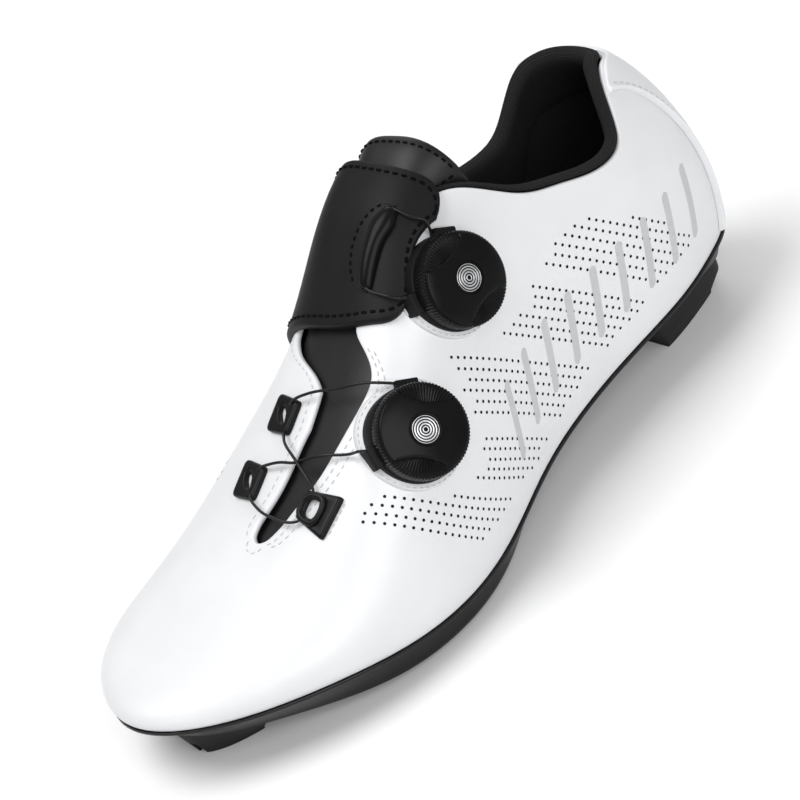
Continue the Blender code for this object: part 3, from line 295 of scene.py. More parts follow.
# Stitches: length, gap, radius
COUNTER_STITCH = (0.0020, 0.0009, 0.00024)
THROAT_STITCH = (0.0019, 0.0010, 0.00023)
TONGUE_STITCH = (0.0020, 0.0009, 0.00044)
STRAP_STITCH = (0.0022, 0.0010, 0.00050)
PATCH_STITCH = (0.0018, 0.0009, 0.00044)
RING_STITCH = (0.0015, 0.0008, 0.00017)
RING_STITCH_RADIUS = 0.0172
TAB_STITCH = (0.0016, 0.0008, 0.00022)


# The last: one smooth form that every piece of the upper follows

def natural_curve(knots, values):
    """Cubic through the knots with free ends."""
    knots, values = np.asarray(knots, float), np.asarray(values, float)
    count = len(knots)
    step = np.diff(knots)
    matrix = np.zeros((count, count))
    right = np.zeros(count)
    matrix[0, 0] = matrix[-1, -1] = 1
    for i in range(1, count - 1):
        matrix[i, i - 1:i + 2] = step[i - 1], 2 * (step[i - 1] + step[i]), step[i]
        right[i] = 6 * ((values[i + 1] - values[i]) / step[i] - (values[i] - values[i - 1]) / step[i - 1])
    bend = np.linalg.solve(matrix, right)

    def at(x):
        x = np.asarray(x, float)
        i = np.clip(np.searchsorted(knots, x) - 1, 0, count - 2)
        past, ahead, h = x - knots[i], knots[i + 1] - x, step[i]
        curve = (bend[i] * ahead**3 + bend[i + 1] * past**3) / (6 * h)
        low, high = values[i] / h - bend[i] * h / 6, values[i + 1] / h - bend[i + 1] * h / 6
        return curve + low * ahead + high * past
    return at


def column(table, index, knot_scale=1.0, value_scale=1.0):
    """A smooth curve through one column of a table."""
    return natural_curve([row[0] * knot_scale for row in table], [row[index] * value_scale for row in table])


def station(along):
    """Angle of the ray whose foot lies at this share of the length."""
    return np.arccos(1 - 2 * np.asarray(along, float))


def outline_curve():
    knots = [(0.0, 0.0), (math.pi, TOE_ACROSS), (-math.pi, TOE_ACROSS)]
    for along, outer, inner in OUTLINE:
        knots += [(float(station(along)), outer), (-float(station(along)), -inner)]
    knots.sort()
    turn = 2 * math.pi
    before = [(angle - turn, across) for angle, across in knots[-6:-1]]
    after = [(angle + turn, across) for angle, across in knots[1:6]]
    knots = before + knots + after
    return natural_curve([k[0] for k in knots], [k[1] * BALL_WIDTH for k in knots])


edge_across = outline_curve()
seat_height = column(PROFILE, 1, LENGTH, HEEL_SEAT)
ridge_height = column(PROFILE, 2, LENGTH, INSTEP_HEIGHT)
ridge_across = column(PROFILE, 3, LENGTH, BALL_WIDTH)
squareness = column(FORM, 1, LENGTH)
bulge = column(FORM, 2, LENGTH, BALL_WIDTH)
platform_height = column(PLATFORM, 1, LENGTH, HEEL_SEAT)
platform_inset = column(PLATFORM, 2, LENGTH, BALL_WIDTH)


def blend_min(a, b, width):
    near = np.maximum(width - np.abs(a - b), 0) / width
    return np.minimum(a, b) - near**3 * width / 6


def ridge_along(x):
    width = PIVOT_BLEND * LENGTH
    return -blend_min(-blend_min(x, TOE_PIVOT * LENGTH, width), -HEEL_PIVOT * LENGTH, width)


def ray(theta, phi):
    """Point of the last at a station and an angle from the feather edge to the ridge."""
    theta, phi = np.broadcast_arrays(np.asarray(theta, float), np.asarray(phi, float))
    x = LENGTH * (1 - np.cos(theta)) / 2
    y = edge_across(theta)
    foot = seat_height(x)
    x_ridge = ridge_along(x)
    y_ridge, z_ridge = ridge_across(x_ridge), ridge_height(x_ridge)
    power = 2 / squareness(x)
    inward, rise = 1 - np.cos(phi) ** power, np.sin(phi) ** power
    to_x, to_y = x_ridge - x, y_ridge - y
    reach = np.hypot(to_x, to_y)
    swell = bulge(x) * 6.75 * rise * (1 - rise) ** 2
    run = reach * inward - swell
    px, py = x + to_x / reach * run, y + to_y / reach * run
    slope = np.where(x > x_ridge, TOE_SLOPE * (px - x_ridge), 0) * rise**3
    return np.stack([px, py, foot + (z_ridge - foot) * rise + slope], -1)


def outward(theta, phi):
    """Unit normal of the last, away from the foot."""
    step = 0.002
    phi = np.clip(phi, 0.012, math.pi / 2 - 0.03)
    along = ray(theta + step, phi) - ray(theta - step, phi)
    up = ray(theta, phi + step) - ray(theta, phi - step)
    normal = -np.cross(along, up)
    return normal / np.linalg.norm(normal, axis=-1, keepdims=True)


TABLE_TURNS = np.linspace(-math.pi, math.pi, 1441)
TABLE_SHARES = np.linspace(0, 1, 161)


def girth_tables():
    """Angle for each station and share of the girth, and the girth's length at each station."""
    ease = np.linspace(0, 1, 201)
    fine = (3 * ease**2 - 2 * ease**3) * math.pi / 2
    path = ray(TABLE_TURNS[:, None], fine[None, :])
    run = np.cumsum(np.linalg.norm(np.diff(path, axis=1), axis=-1), axis=1)
    run = np.concatenate([np.zeros((len(run), 1)), run], axis=1)
    angle = np.array([np.interp(TABLE_SHARES * row[-1], row, fine) for row in run])
    return angle, run[:, -1]


ANGLES, GIRTHS = girth_tables()


def girth_angle(theta, share):
    """Angle at a share of the girth, read between the entries of the table."""
    column_at = (np.asarray(theta) - TABLE_TURNS[0]) / (TABLE_TURNS[1] - TABLE_TURNS[0])
    row_at = np.clip(np.asarray(share), 0, 1) * (len(TABLE_SHARES) - 1)
    i = np.clip(column_at.astype(int), 0, len(TABLE_TURNS) - 2)
    j = np.clip(row_at.astype(int), 0, len(TABLE_SHARES) - 2)
    u, v = column_at - i, row_at - j
    low = ANGLES[i, j] * (1 - u) + ANGLES[i + 1, j] * u
    high = ANGLES[i, j + 1] * (1 - u) + ANGLES[i + 1, j + 1] * u
    return low * (1 - v) + high * v


def girth_length(theta):
    return np.interp(theta, TABLE_TURNS, GIRTHS)


# The CAD model is set with the middle of its box over the origin; a nut gives the step
NUT_SPOT = Vector((CLEAT_ALONG * LENGTH - NUT_PITCH / 2, -CLEAT_ACROSS / 2, 0))
SHIFT = (sum(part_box("cleat_nut_1"), Vector()) / 2 - NUT_SPOT) * Vector((1, 1, 0))
SHIFT = np.array(SHIFT)


def on_last(theta, share, height=0.0):
    """Points over the last: station, share of the girth, and height along the normal."""
    theta, share, height = np.broadcast_arrays(*[np.asarray(v, float) for v in (theta, share, height)])
    phi = girth_angle(theta, share)
    return ray(theta, phi) + outward(theta, phi) * height[..., None] + SHIFT


def over_ridge(along, girth, height=0.0):
    """Points over the last by share of length and share of girth from the ridge, outer side positive."""
    along, girth, height = np.broadcast_arrays(*[np.asarray(v, float) for v in (along, girth, height)])
    theta = station(along)
    side = np.where(girth < 0, -1, 1)
    share = 1 - np.abs(girth)
    phi = girth_angle(theta * side, share)
    point = ray(theta * side, phi)
    outer = outward(theta, girth_angle(theta, share))
    inner = outward(-theta, girth_angle(-theta, share))
    mix = np.clip(girth / 0.12 + 0.5, 0, 1)
    mix = (3 * mix**2 - 2 * mix**3)[..., None]
    normal = inner * (1 - mix) + outer * mix
    normal /= np.linalg.norm(normal, axis=-1, keepdims=True)
    return point + normal * height[..., None] + SHIFT


def inset_edge(theta, inset):
    """Feather edge in plan, moved towards the centre line by inset."""
    theta = np.asarray(theta, float)
    step = 0.002
    x = LENGTH * (1 - np.cos(theta)) / 2
    dx = LENGTH * (np.cos(theta - step) - np.cos(theta + step)) / 2
    dy = edge_across(theta + step) - edge_across(theta - step)
    run = np.hypot(dx, dy)
    return np.stack([x + dy / run * inset, edge_across(theta) - dx / run * inset], -1)


def opening_share(theta):
    along = (1 - np.cos(theta)) / 2
    outer, inner = column(OPENING, 1)(along), column(OPENING, 2)(along)
    share = np.where(np.asarray(theta) >= 0, outer, inner)
    return np.where(along >= THROAT_END - 1e-9, 1.0, np.minimum(share, 0.99))


# Materials

def shader_material(name, colour, roughness, metallic=0.0, **inputs):
    made = bpy.data.materials.new(name)
    made.use_nodes = True
    shader = made.node_tree.nodes["Principled BSDF"]
    shader.inputs["Base Color"].default_value = (*colour, 1.0)
    shader.inputs["Roughness"].default_value = roughness
    shader.inputs["Metallic"].default_value = metallic
    for key, value in inputs.items():
        shader.inputs[key.replace("_", " ")].default_value = value
    return made, made.node_tree.nodes, made.node_tree.links, shader


def add_node(nodes, kind, **settings):
    node = nodes.new(kind)
    for key, value in settings.items():
        if key in node.inputs:
            node.inputs[key].default_value = value
        else:
            setattr(node, key, value)
    return node


def object_point(nodes):
    return add_node(nodes, "ShaderNodeTexCoord").outputs["Object"]


def set_range(nodes, links, value, low, high, socket):
    """Spread a 0 to 1 value between two numbers and feed a socket."""
    spread = add_node(nodes, "ShaderNodeMapRange")
    spread.inputs["To Min"].default_value = low
    spread.inputs["To Max"].default_value = high
    links.new(value, spread.inputs["Value"])
    links.new(spread.outputs["Result"], socket)


def tint(nodes, links, value, dark, light, shader):
    ramp = add_node(nodes, "ShaderNodeValToRGB")
    ramp.color_ramp.elements[0].position = 0.3
    ramp.color_ramp.elements[0].color = (*dark, 1)
    ramp.color_ramp.elements[1].position = 0.7
    ramp.color_ramp.elements[1].color = (*light, 1)
    links.new(value, ramp.inputs["Fac"])
    links.new(ramp.outputs["Color"], shader.inputs["Base Color"])


def add_bump(nodes, links, shader, heights):
    """Chain of bumps from (height socket, strength, distance)."""
    last = None
    for height, strength, distance in heights:
        bump = add_node(nodes, "ShaderNodeBump")
        bump.inputs["Strength"].default_value = strength
        bump.inputs["Distance"].default_value = distance
        links.new(height, bump.inputs["Height"])
        if last:
            links.new(last, bump.inputs["Normal"])
        last = bump.outputs["Normal"]
    links.new(last, shader.inputs["Normal"])


def clouded(name, dark, light, rough, cloud, **inputs):
    """Material whose colour and roughness drift together over a noise of this scale, detail and roughness."""
    made, nodes, links, shader = shader_material(name, light, rough[1], **inputs)
    point = object_point(nodes)
    scale, detail, roughness = cloud
    drift = add_node(nodes, "ShaderNodeTexNoise", Scale=scale, Detail=detail, Roughness=roughness)
    links.new(point, drift.inputs["Vector"])
    tint(nodes, links, drift.outputs["Fac"], dark, light, shader)
    set_range(nodes, links, drift.outputs["Fac"], *rough, shader.inputs["Roughness"])
    return made, nodes, links, shader, point


def leather(name, dark, light, rough, grain, strength, coat=0.1, gloss=0.5):
    """Coated microfibre: pebble grain under a thin skin, with soft mottling."""
    made, nodes, links, shader, point = clouded(name, dark, light, rough, (38.0, 4.0, 0.55), Coat_Weight=coat,
                                                Coat_Roughness=0.35, Specular_IOR_Level=gloss)
    pebble = add_node(nodes, "ShaderNodeTexVoronoi", feature="DISTANCE_TO_EDGE", Scale=grain, Randomness=0.9)
    fine = add_node(nodes, "ShaderNodeTexNoise", Scale=grain * 2.4, Detail=3.0)
    for texture in (pebble, fine):
        links.new(point, texture.inputs["Vector"])
    add_bump(nodes, links, shader, (
        (pebble.outputs["Distance"], strength, 0.00012),
        (fine.outputs["Fac"], strength * 0.6, 0.00005),
    ))
    return made


def knit(name, dark, light, pitch):
    """Warp-knitted lining: fine ribs crossed by loops, read from the piece's own map in mm."""
    made, nodes, links, shader = shader_material(name, light, 0.9, Specular_IOR_Level=0.12)
    uv = add_node(nodes, "ShaderNodeUVMap", uv_map="surface").outputs["UV"]
    ribs = add_node(nodes, "ShaderNodeTexWave", wave_type="BANDS", bands_direction="X", Scale=0.32 / pitch)
    loops = add_node(nodes, "ShaderNodeTexWave", wave_type="BANDS", bands_direction="Y", Scale=0.32 / pitch)
    fuzz = add_node(nodes, "ShaderNodeTexNoise", Scale=900.0, Detail=3.0)
    links.new(uv, ribs.inputs["Vector"])
    links.new(uv, loops.inputs["Vector"])
    links.new(object_point(nodes), fuzz.inputs["Vector"])
    both = add_node(nodes, "ShaderNodeMath", operation="MULTIPLY")
    links.new(ribs.outputs["Fac"], both.inputs[0])
    links.new(loops.outputs["Fac"], both.inputs[1])
    tint(nodes, links, both.outputs[0], dark, light, shader)
    add_bump(nodes, links, shader, ((both.outputs[0], 0.7, 0.00025), (fuzz.outputs["Fac"], 0.4, 0.0001)))
    return made


def moulded(name, dark, light, rough, coat=0.0, grain=700.0, strength=0.15, gloss=0.5):
    """Moulded plastic or rubber: slight unevenness of colour and gloss."""
    made, nodes, links, shader, point = clouded(name, dark, light, rough, (60.0, 5.0, 0.6), Coat_Weight=coat,
                                                Coat_Roughness=0.12, Specular_IOR_Level=gloss)
    fine = add_node(nodes, "ShaderNodeTexNoise", Scale=grain, Detail=2.0)
    links.new(point, fine.inputs["Vector"])
    add_bump(nodes, links, shader, ((fine.outputs["Fac"], strength, 0.00006),))
    return made


def brushed(name, colour, roughness):
    made, nodes, links, shader = shader_material(name, colour, roughness, metallic=1.0)
    noise = add_node(nodes, "ShaderNodeTexNoise", Scale=1500.0, Detail=2.0)
    links.new(object_point(nodes), noise.inputs["Vector"])
    low, high = roughness * 0.8, roughness * 1.3
    set_range(nodes, links, noise.outputs["Fac"], low, high, shader.inputs["Roughness"])
    add_bump(nodes, links, shader, ((noise.outputs["Fac"], 0.15, 0.00003),))
    return made


def thread(name, dark, light, roughness, gloss):
    made, nodes, links, shader = shader_material(name, light, roughness, Specular_IOR_Level=gloss)
    noise = add_node(nodes, "ShaderNodeTexNoise", Scale=2500.0, Detail=2.0)
    links.new(object_point(nodes), noise.inputs["Vector"])
    tint(nodes, links, noise.outputs["Fac"], dark, light, shader)
    add_bump(nodes, links, shader, ((noise.outputs["Fac"], 0.5, 0.00005),))
    return made


def grey(value, blue=None):
    return value, value, blue or value


WHITE = leather("white_microfibre", (0.69, 0.698, 0.713), (0.725, 0.733, 0.748), (0.36, 0.48), 900.0,
                0.10, 0.12)
WHITE_TRIM = leather("white_trim", (0.62, 0.627, 0.64), (0.66, 0.667, 0.68), (0.4, 0.5), 1100.0, 0.12, 0.05)
BLACK = leather("black_microfibre", grey(0.005, 0.0055), grey(0.009, 0.010), (0.42, 0.56), 750.0,
                0.28, 0.0, 0.14)
TONGUE_LEATHER = leather(
    "tongue_microfibre", grey(0.006, 0.0065), grey(0.011, 0.012), (0.36, 0.5), 750.0, 0.2, 0.0, 0.30)
LINING = knit("black_knit", grey(0.010), grey(0.036, 0.0365), 0.7)
SOLE = moulded("sole_gloss", grey(0.006), grey(0.012, 0.013), (0.24, 0.36), strength=0.05, gloss=0.25)
PLATFORM_FINISH = moulded("sole_matt", grey(0.016, 0.017), grey(0.026, 0.028), (0.45, 0.6), strength=0.25)
RUBBER = moulded("tread_rubber", grey(0.010), grey(0.018), (0.6, 0.8), grain=1100.0, strength=0.5, gloss=0.25)
DIAL = moulded("dial_gloss", grey(0.004), grey(0.007, 0.0075), (0.20, 0.30), strength=0.04, gloss=0.09)
DIAL_MATT = moulded("dial_matt", grey(0.005), grey(0.010, 0.0105), (0.38, 0.52), gloss=0.10)
GUIDE = moulded("guide_plastic", grey(0.004, 0.0045), grey(0.009, 0.0095), (0.26, 0.38), strength=0.12,
                gloss=0.14)
CORD = moulded("coated_cord", grey(0.003), grey(0.007, 0.0075), (0.3, 0.42), grain=3000.0, strength=0.4,
               gloss=0.3)
SILVER = brushed("silver_print", (0.62, 0.63, 0.64), 0.32)
STEEL = brushed("nut_steel", (0.50, 0.50, 0.51), 0.34)
WHITE_THREAD = thread("white_thread", (0.44, 0.45, 0.47), (0.60, 0.61, 0.63), 0.6, 0.3)
BLACK_THREAD = thread("black_thread", grey(0.001), grey(0.0025, 0.0027), 0.6, 0.06)
HOLE = moulded("pinhole_shade", grey(0.008, 0.009), grey(0.020, 0.021), (0.8, 0.9), gloss=0.1)
REFLECTIVE = moulded("reflective_print", (0.47, 0.475, 0.48), (0.51, 0.515, 0.52), (0.3, 0.4), coat=0.1)


# Building pieces

def shade(mesh, crease):
    """Smooth shading, with a sharp edge where faces meet at more than crease degrees."""
    mesh.shade_smooth()
    mesh.set_sharp_from_angle(angle=math.radians(crease))


def make_piece(name, points, faces, finish, uv=None, crease=50, merge=0.0):
    """A mesh object from points and faces; uv is in mm, one pair for each point."""
    points = np.asarray(points, float).reshape(-1, 3)
    mesh = bpy.data.meshes.new(name)
    mesh.from_pydata(points.tolist(), [], [list(map(int, face)) for face in faces])
    if uv is not None:
        layer = mesh.uv_layers.new(name="surface")
        corner = np.empty(len(mesh.loops), np.int32)
        mesh.loops.foreach_get("vertex_index", corner)
        layer.data.foreach_set("uv", np.asarray(uv, float).reshape(-1, 2)[corner].ravel())
    mesh.materials.append(finish)
    if merge:
        form = bmesh.new()
        form.from_mesh(mesh)
        bmesh.ops.remove_doubles(form, verts=form.verts, dist=merge)
        form.to_mesh(mesh)
        form.free()
    shade(mesh, crease)
    obj = bpy.data.objects.new(name, mesh)
    bpy.context.scene.collection.objects.link(obj)
    return obj


def settle(obj, slot, *nodes):
    """The piece rides with the shoe and stands for these CAD nodes, which are hidden; slot is not used."""
    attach(obj, "root")
    if nodes:
        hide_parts(*nodes)
    return obj


def full_turn(count):
    return np.linspace(0, 2 * math.pi, count, endpoint=False)


def grid_faces(rows, columns, close_rows=False, close_columns=False, flip=False):
    i = np.arange(rows if close_rows else rows - 1)
    j = np.arange(columns if close_columns else columns - 1)
    i, j = [part.ravel() for part in np.meshgrid(i, j, indexing="ij")]
    after_i, after_j = (i + 1) % rows, (j + 1) % columns
    corners = (i, j), (after_i, j), (after_i, after_j), (i, after_j)
    quads = np.stack([row * columns + place for row, place in corners], 1)
    return quads[:, ::-1] if flip else quads


def join_parts(parts):
    """One list of points and one of faces from many (points, faces)."""
    points, faces, start = [], [], 0
    for some_points, some_faces in parts:
        some_points = np.asarray(some_points, float).reshape(-1, 3)
        points.append(some_points)
        faces += [[int(i) + start for i in face] for face in some_faces]
        start += len(some_points)
    return np.concatenate(points), faces


def rounded_edge(distance, radius):
    """Share of the full thickness at a distance from the border."""
    near = 1 - np.clip(distance / radius, 0, 1)
    return np.sqrt(1 - near**2)


def spread(length, border, count):
    """Shares from 0 to 1, close together within border of each end."""
    turn = np.linspace(0, math.pi / 2, 6)[:-1]
    ends = border / length * (1 - np.cos(turn))
    middle = np.linspace(border / length, 1 - border / length, count)
    return np.concatenate([ends, middle, 1 - ends[::-1]])


def sheet(name, top, under, finish, uv=None, flip=False):
    """Thin closed sheet from the grids of its two sides."""
    rows, columns = top.shape[:2]
    faces = [grid_faces(rows, columns, flip=flip), grid_faces(rows, columns, flip=not flip) + rows * columns]
    points = np.concatenate([top.reshape(-1, 3), under.reshape(-1, 3)])
    if uv is not None:
        uv = np.concatenate([uv, uv])
    return make_piece(name, points, np.concatenate(faces), finish, uv, merge=0.00001)


def tube_faces(rings, around):
    """Faces of a tube of rings, closed at both ends."""
    faces = [list(face) for face in grid_faces(rings, around, close_columns=True)]
    last = (rings - 1) * around
    return faces + [list(range(around)), [last + k for k in reversed(range(around))]]


def run_along(points, power=1.0):
    """Distance along points from the first, each step raised to a power."""
    return np.concatenate([[0], np.cumsum(np.linalg.norm(np.diff(points, axis=0), axis=1) ** power)])


def stitches(path, normals, length, gap, radius, rise=0.5):
    """Parts for a row of stitches: short fat arches that dip into the surface at both ends."""
    path, normals = np.asarray(path, float), np.asarray(normals, float)
    run = run_along(path)
    pitch = length + gap
    count = max(1, int((run[-1] - length) / pitch) + 1)
    parts = []
    sides = 6
    turn = full_turn(sides)
    for number in range(count):
        at = number * pitch + length * np.array([0.0, 0.12, 0.5, 0.88, 1.0])
        centre = np.stack([np.interp(at, run, path[:, k]) for k in range(3)], -1)
        normal = np.stack([np.interp(at, run, normals[:, k]) for k in range(3)], -1)
        normal /= np.linalg.norm(normal, axis=1, keepdims=True)
        ahead = centre[-1] - centre[0]
        ahead /= np.linalg.norm(ahead)
        across = np.cross(ahead, normal)
        lift = radius * np.array([-0.9, 0.1, rise, 0.1, -0.9])
        width = radius * np.array([0.55, 0.95, 1.0, 0.95, 0.55])
        ring = (centre + normal * lift[:, None])[:, None, :]
        ring = ring + across[:, None, :] * (np.cos(turn)[None, :] * width[:, None])[..., None]
        ring = ring + normal[:, None, :] * (np.sin(turn)[None, :] * width[:, None])[..., None] * 0.8
        parts.append((ring.reshape(-1, 3), grid_faces(5, sides, close_columns=True)))
    return parts


def row_on(surface, *place):
    """Row of points as a function of the height over a surface; place ends with the row's own height."""
    return lambda rise: surface(*place[:-1], place[-1] + rise)


def add_stitches(name, rows, sizes, finish, slot):
    """One piece from rows made by row_on, with stitches of one length, gap and radius."""
    parts = []
    for row in rows:
        points = row(0.0)
        normals = row(0.001) - points
        normals /= np.linalg.norm(normals, axis=-1, keepdims=True)
        parts += stitches(points, normals, *sizes)
    points, faces = join_parts(parts)
    settle(make_piece(name, points, faces, finish), slot)


# Upper

def loop_stations(count, *bands):
    """Stations on one side: even, with finer bands given as (from, to, count) along the foot."""
    parts = [np.linspace(0, math.pi, count)]
    for low, high, more in bands:
        parts.append(np.linspace(float(station(low)), float(station(high)), more))
    merged = np.sort(np.concatenate(parts + [[float(station(THROAT_END))]]))
    keep = np.concatenate([[True], np.diff(merged) > 0.0015])
    return merged[keep]


def build_upper():
    side = loop_stations(190, (0.06, 0.17, 40), (0.54, 0.61, 30), (0.735, THROAT_END, 26))
    loop = np.concatenate([side, -side[-2:0:-1]])
    along = (1 - np.cos(loop)) / 2
    closed = along >= THROAT_END - 1e-6
    girth = girth_length(loop)
    half = UPPER_WALL / 2
    edge = opening_share(loop)
    top = np.where(closed, 1.0, edge - half / girth)
    rows = np.concatenate([[0, 0.012], np.linspace(0.03, 0.97, 42), [0.985, 1.0]])
    outer = on_last(loop[:, None], top[:, None] * rows[None, :])
    inner = on_last(loop[:, None], top[:, None] * rows[None, :], -UPPER_WALL)
    inner[:, 0, 2] = outer[:, 0, 2]
    turn = np.linspace(0, math.pi, 9)[1:-1]
    bow = np.where(closed, 0, half / girth)[:, None] * np.sin(turn)[None, :]
    rim = on_last(loop[:, None], top[:, None] + bow, half * (np.cos(turn)[None, :] - 1))
    strips = [outer, rim, inner[:, ::-1]]
    grid = np.concatenate(strips, axis=1)
    count, width = grid.shape[:2]
    faces = grid_faces(count, width, close_rows=True, close_columns=True)
    start = len(rows) - 1
    j = faces[:, 0] % width
    i = faces[:, 0] // width
    in_rim = (j >= start) & (j <= start + len(turn))
    shut = closed[i] & closed[(i + 1) % count]
    faces = faces[~(in_rim & shut)]
    uv_u = np.repeat((along * LENGTH * 1000)[:, None], width, axis=1)
    shares = np.concatenate([np.repeat(rows[None, :], count, 0), np.ones((count, len(turn))),
                             np.repeat(rows[None, ::-1], count, 0)], axis=1)
    uv_v = shares * (top * girth)[:, None] * 1000
    upper = make_piece("upper_shell", grid, faces, WHITE, np.stack([uv_u, uv_v], -1), merge=0.00004)
    return settle(upper, "white_leather", "upper")


def build_last_tree():
    """Search tree of the bare last, used to seat flat-framed pieces on it."""
    loop = np.linspace(-math.pi, math.pi, 361)
    rows = np.linspace(0, 1, 81)
    points = on_last(loop[:, None], rows[None, :]).reshape(-1, 3)
    return BVHTree.FromPolygons([Vector(p) for p in points], grid_faces(361, 81).tolist())


LAST_TREE = build_last_tree()


def seat_frame(along, side, share, turn=0.0):
    """Frame on the last: Z away from the foot, X towards the throat, turned about Z."""
    theta = side * float(station(along))
    step = 0.01
    origin = on_last(theta, share)
    up = on_last(theta, share + step) - on_last(theta, share - step)
    normal = Vector(outward(np.array([theta]), girth_angle(np.array([theta]), np.array([share])))[0])
    x_axis = Vector(up)
    x_axis = (x_axis - normal * x_axis.dot(normal)).normalized()
    y_axis = normal.cross(x_axis)
    made = Matrix((x_axis, y_axis, normal)).transposed().to_4x4()
    made.translation = Vector(origin)
    return made @ Matrix.Rotation(math.radians(turn), 4, "Z")


def drop(seat, x, y):
    """Height of the last, in a frame's own Z, under each x and y."""
    x, y = np.broadcast_arrays(np.asarray(x, float), np.asarray(y, float))
    heading = -(seat.to_3x3() @ Vector((0, 0, 1)))
    back = seat.inverted()
    heights = []
    for a, b in zip(x.ravel(), y.ravel()):
        hit = LAST_TREE.ray_cast(seat @ Vector((a, b, 0.02)), heading)[0]
        heights.append((back @ hit).z if hit else -0.01)
    return np.array(heights).reshape(x.shape)


def to_world(seat, x, y, z):
    """Points of a frame as points of the model."""
    x, y, z = np.broadcast_arrays(np.asarray(x, float), np.asarray(y, float), np.asarray(z, float))
    matrix = np.array(seat)
    local = np.stack([x, y, z], -1)
    return local @ matrix[:3, :3].T + matrix[:3, 3]


def build_foot_lining():
    """Black lining that covers the inside of the upper."""
    loop = np.linspace(-math.pi, math.pi, 261)
    rows = np.linspace(0.03, 1, 34)
    along = (1 - np.cos(loop)) / 2
    top = np.where(along >= THROAT_END, 0.995, opening_share(loop) - 0.02)
    grid = on_last(loop[:, None], top[:, None] * rows[None, :], -(UPPER_WALL + 0.00012))
    uv = np.stack(np.broadcast_arrays((along * LENGTH)[:, None], rows[None, :] * 0.11), -1) * 1000
    piece = make_piece("foot_lining", grid, grid_faces(*grid.shape[:2], flip=True), LINING, uv)
    settle(piece, "black_mesh")


def build_counter():
    """Heel counter with a raised welt along its seam."""
    seam = column(COUNTER, 1)
    low_share, below_edge, base, rounding = 0.012, 0.008, 0.0001, 0.0006
    tall, arm = 0.07, 0.075

    def share_at(theta, v):
        return low_share + (opening_share(theta) - below_edge - low_share) * v
    ends = np.linspace(-1, -0.85, 22), np.linspace(0.85, 1, 22)
    across = np.concatenate([ends[0], np.linspace(-0.85, 0.85, 70)[1:-1], ends[1]])
    grid_u, grid_v = np.meshgrid((across + 1) / 2, spread(tall, 0.002, 60), indexing="ij")
    theta = (2 * grid_u - 1) * station(seam(grid_v))
    side = np.minimum(grid_u, 1 - grid_u) * 2 * (station(seam(grid_v)) * arm)
    welt = SEAM_RISE * 1.25 * np.exp(-((side - 0.0010) / 0.0007) ** 2)
    full = rounded_edge(side, rounding) * rounded_edge(np.minimum(grid_v, 1 - grid_v) * tall, rounding)
    share = share_at(theta, grid_v)
    top = on_last(theta, share, base + (COUNTER_THICK + SEAT - base + welt) * full)
    piece = sheet("heel_counter_cover", top, on_last(theta, share, base), WHITE)
    settle(piece, "white_leather", "heel_counter")
    rows = []
    v = np.linspace(0.015, 0.985, 120)
    for side_sign in (-1, 1):
        theta = side_sign * (station(seam(v)) - 0.0030 / arm)
        rows.append(row_on(on_last, theta, share_at(theta, v), COUNTER_THICK + SEAT))
    add_stitches("counter_stitches", rows, COUNTER_STITCH, WHITE_THREAD, "white_leather")


def build_lining():
    """Padded collar that rolls over the upper's edge."""
    side = loop_stations(120, (0.06, 0.17, 50))
    side = side[(1 - np.cos(side)) / 2 < LINING_END]
    side = np.append(side, float(station(LINING_END)))
    loop = np.concatenate([-side[:0:-1], side])
    edge, girth = opening_share(loop), girth_length(loop)
    ends = np.exp(-((np.abs(loop) - float(station(LINING_END))) / 0.06) ** 2)
    inside = -(UPPER_WALL + SEAT * 1.5)
    pad, roll, depth, wall = LINING_PAD, LINING_ROLL, LINING_DEPTH, UPPER_WALL
    profile = np.array((
        (-depth, inside), (-depth * 0.6, inside), (-depth * 0.25, inside), (GAP, inside),
        (GAP * 1.6, -0.45 * wall), (roll * 0.25, 0.02 * wall), (roll * 0.6, -0.08 * wall),
        (roll * 0.92, -0.55 * wall), (roll, inside * 0.95), (roll * 0.86, inside - pad * 0.5),
        (roll * 0.45, inside - pad * 0.88), (-roll * 0.4, inside - pad), (-depth * 0.4, inside - pad * 0.95),
        (-depth * 0.8, inside - pad * 0.62), (-depth, inside - pad * 0.3),
    ))
    closed_profile = np.concatenate([profile, profile[:1]])
    run = run_along(closed_profile)
    at = np.unique(np.concatenate([np.linspace(0, run[-1], 52)[:-1], run[3:10]]))
    up, out = np.interp(at, run, closed_profile[:, 0]), np.interp(at, run, closed_profile[:, 1])
    shrink = 1 - 0.25 * ends[:, None]
    near_heel = np.exp(-((1 - np.cos(loop)) / 2 / HEEL_ROLL_REACH) ** 2)
    stretch = 1 + HEEL_ROLL / LINING_ROLL * near_heel[:, None]
    share = edge[:, None] + up[None, :] * np.where(up > 0, shrink * stretch, 1) / girth[:, None]
    grid = on_last(loop[:, None], share, out[None, :] - ends[:, None] * SEAT * 2.8)
    uv = np.stack(np.broadcast_arrays(run_along(grid[:, 0])[:, None], at[None, :]), -1) * 1000
    piece = make_piece("collar_padding", grid, tube_faces(*grid.shape[:2]), LINING, uv, crease=65)
    smooth = piece.modifiers.new("soften", "SMOOTH")
    smooth.factor, smooth.iterations = 0.5, 3
    settle(piece, "black_mesh", "collar_lining")


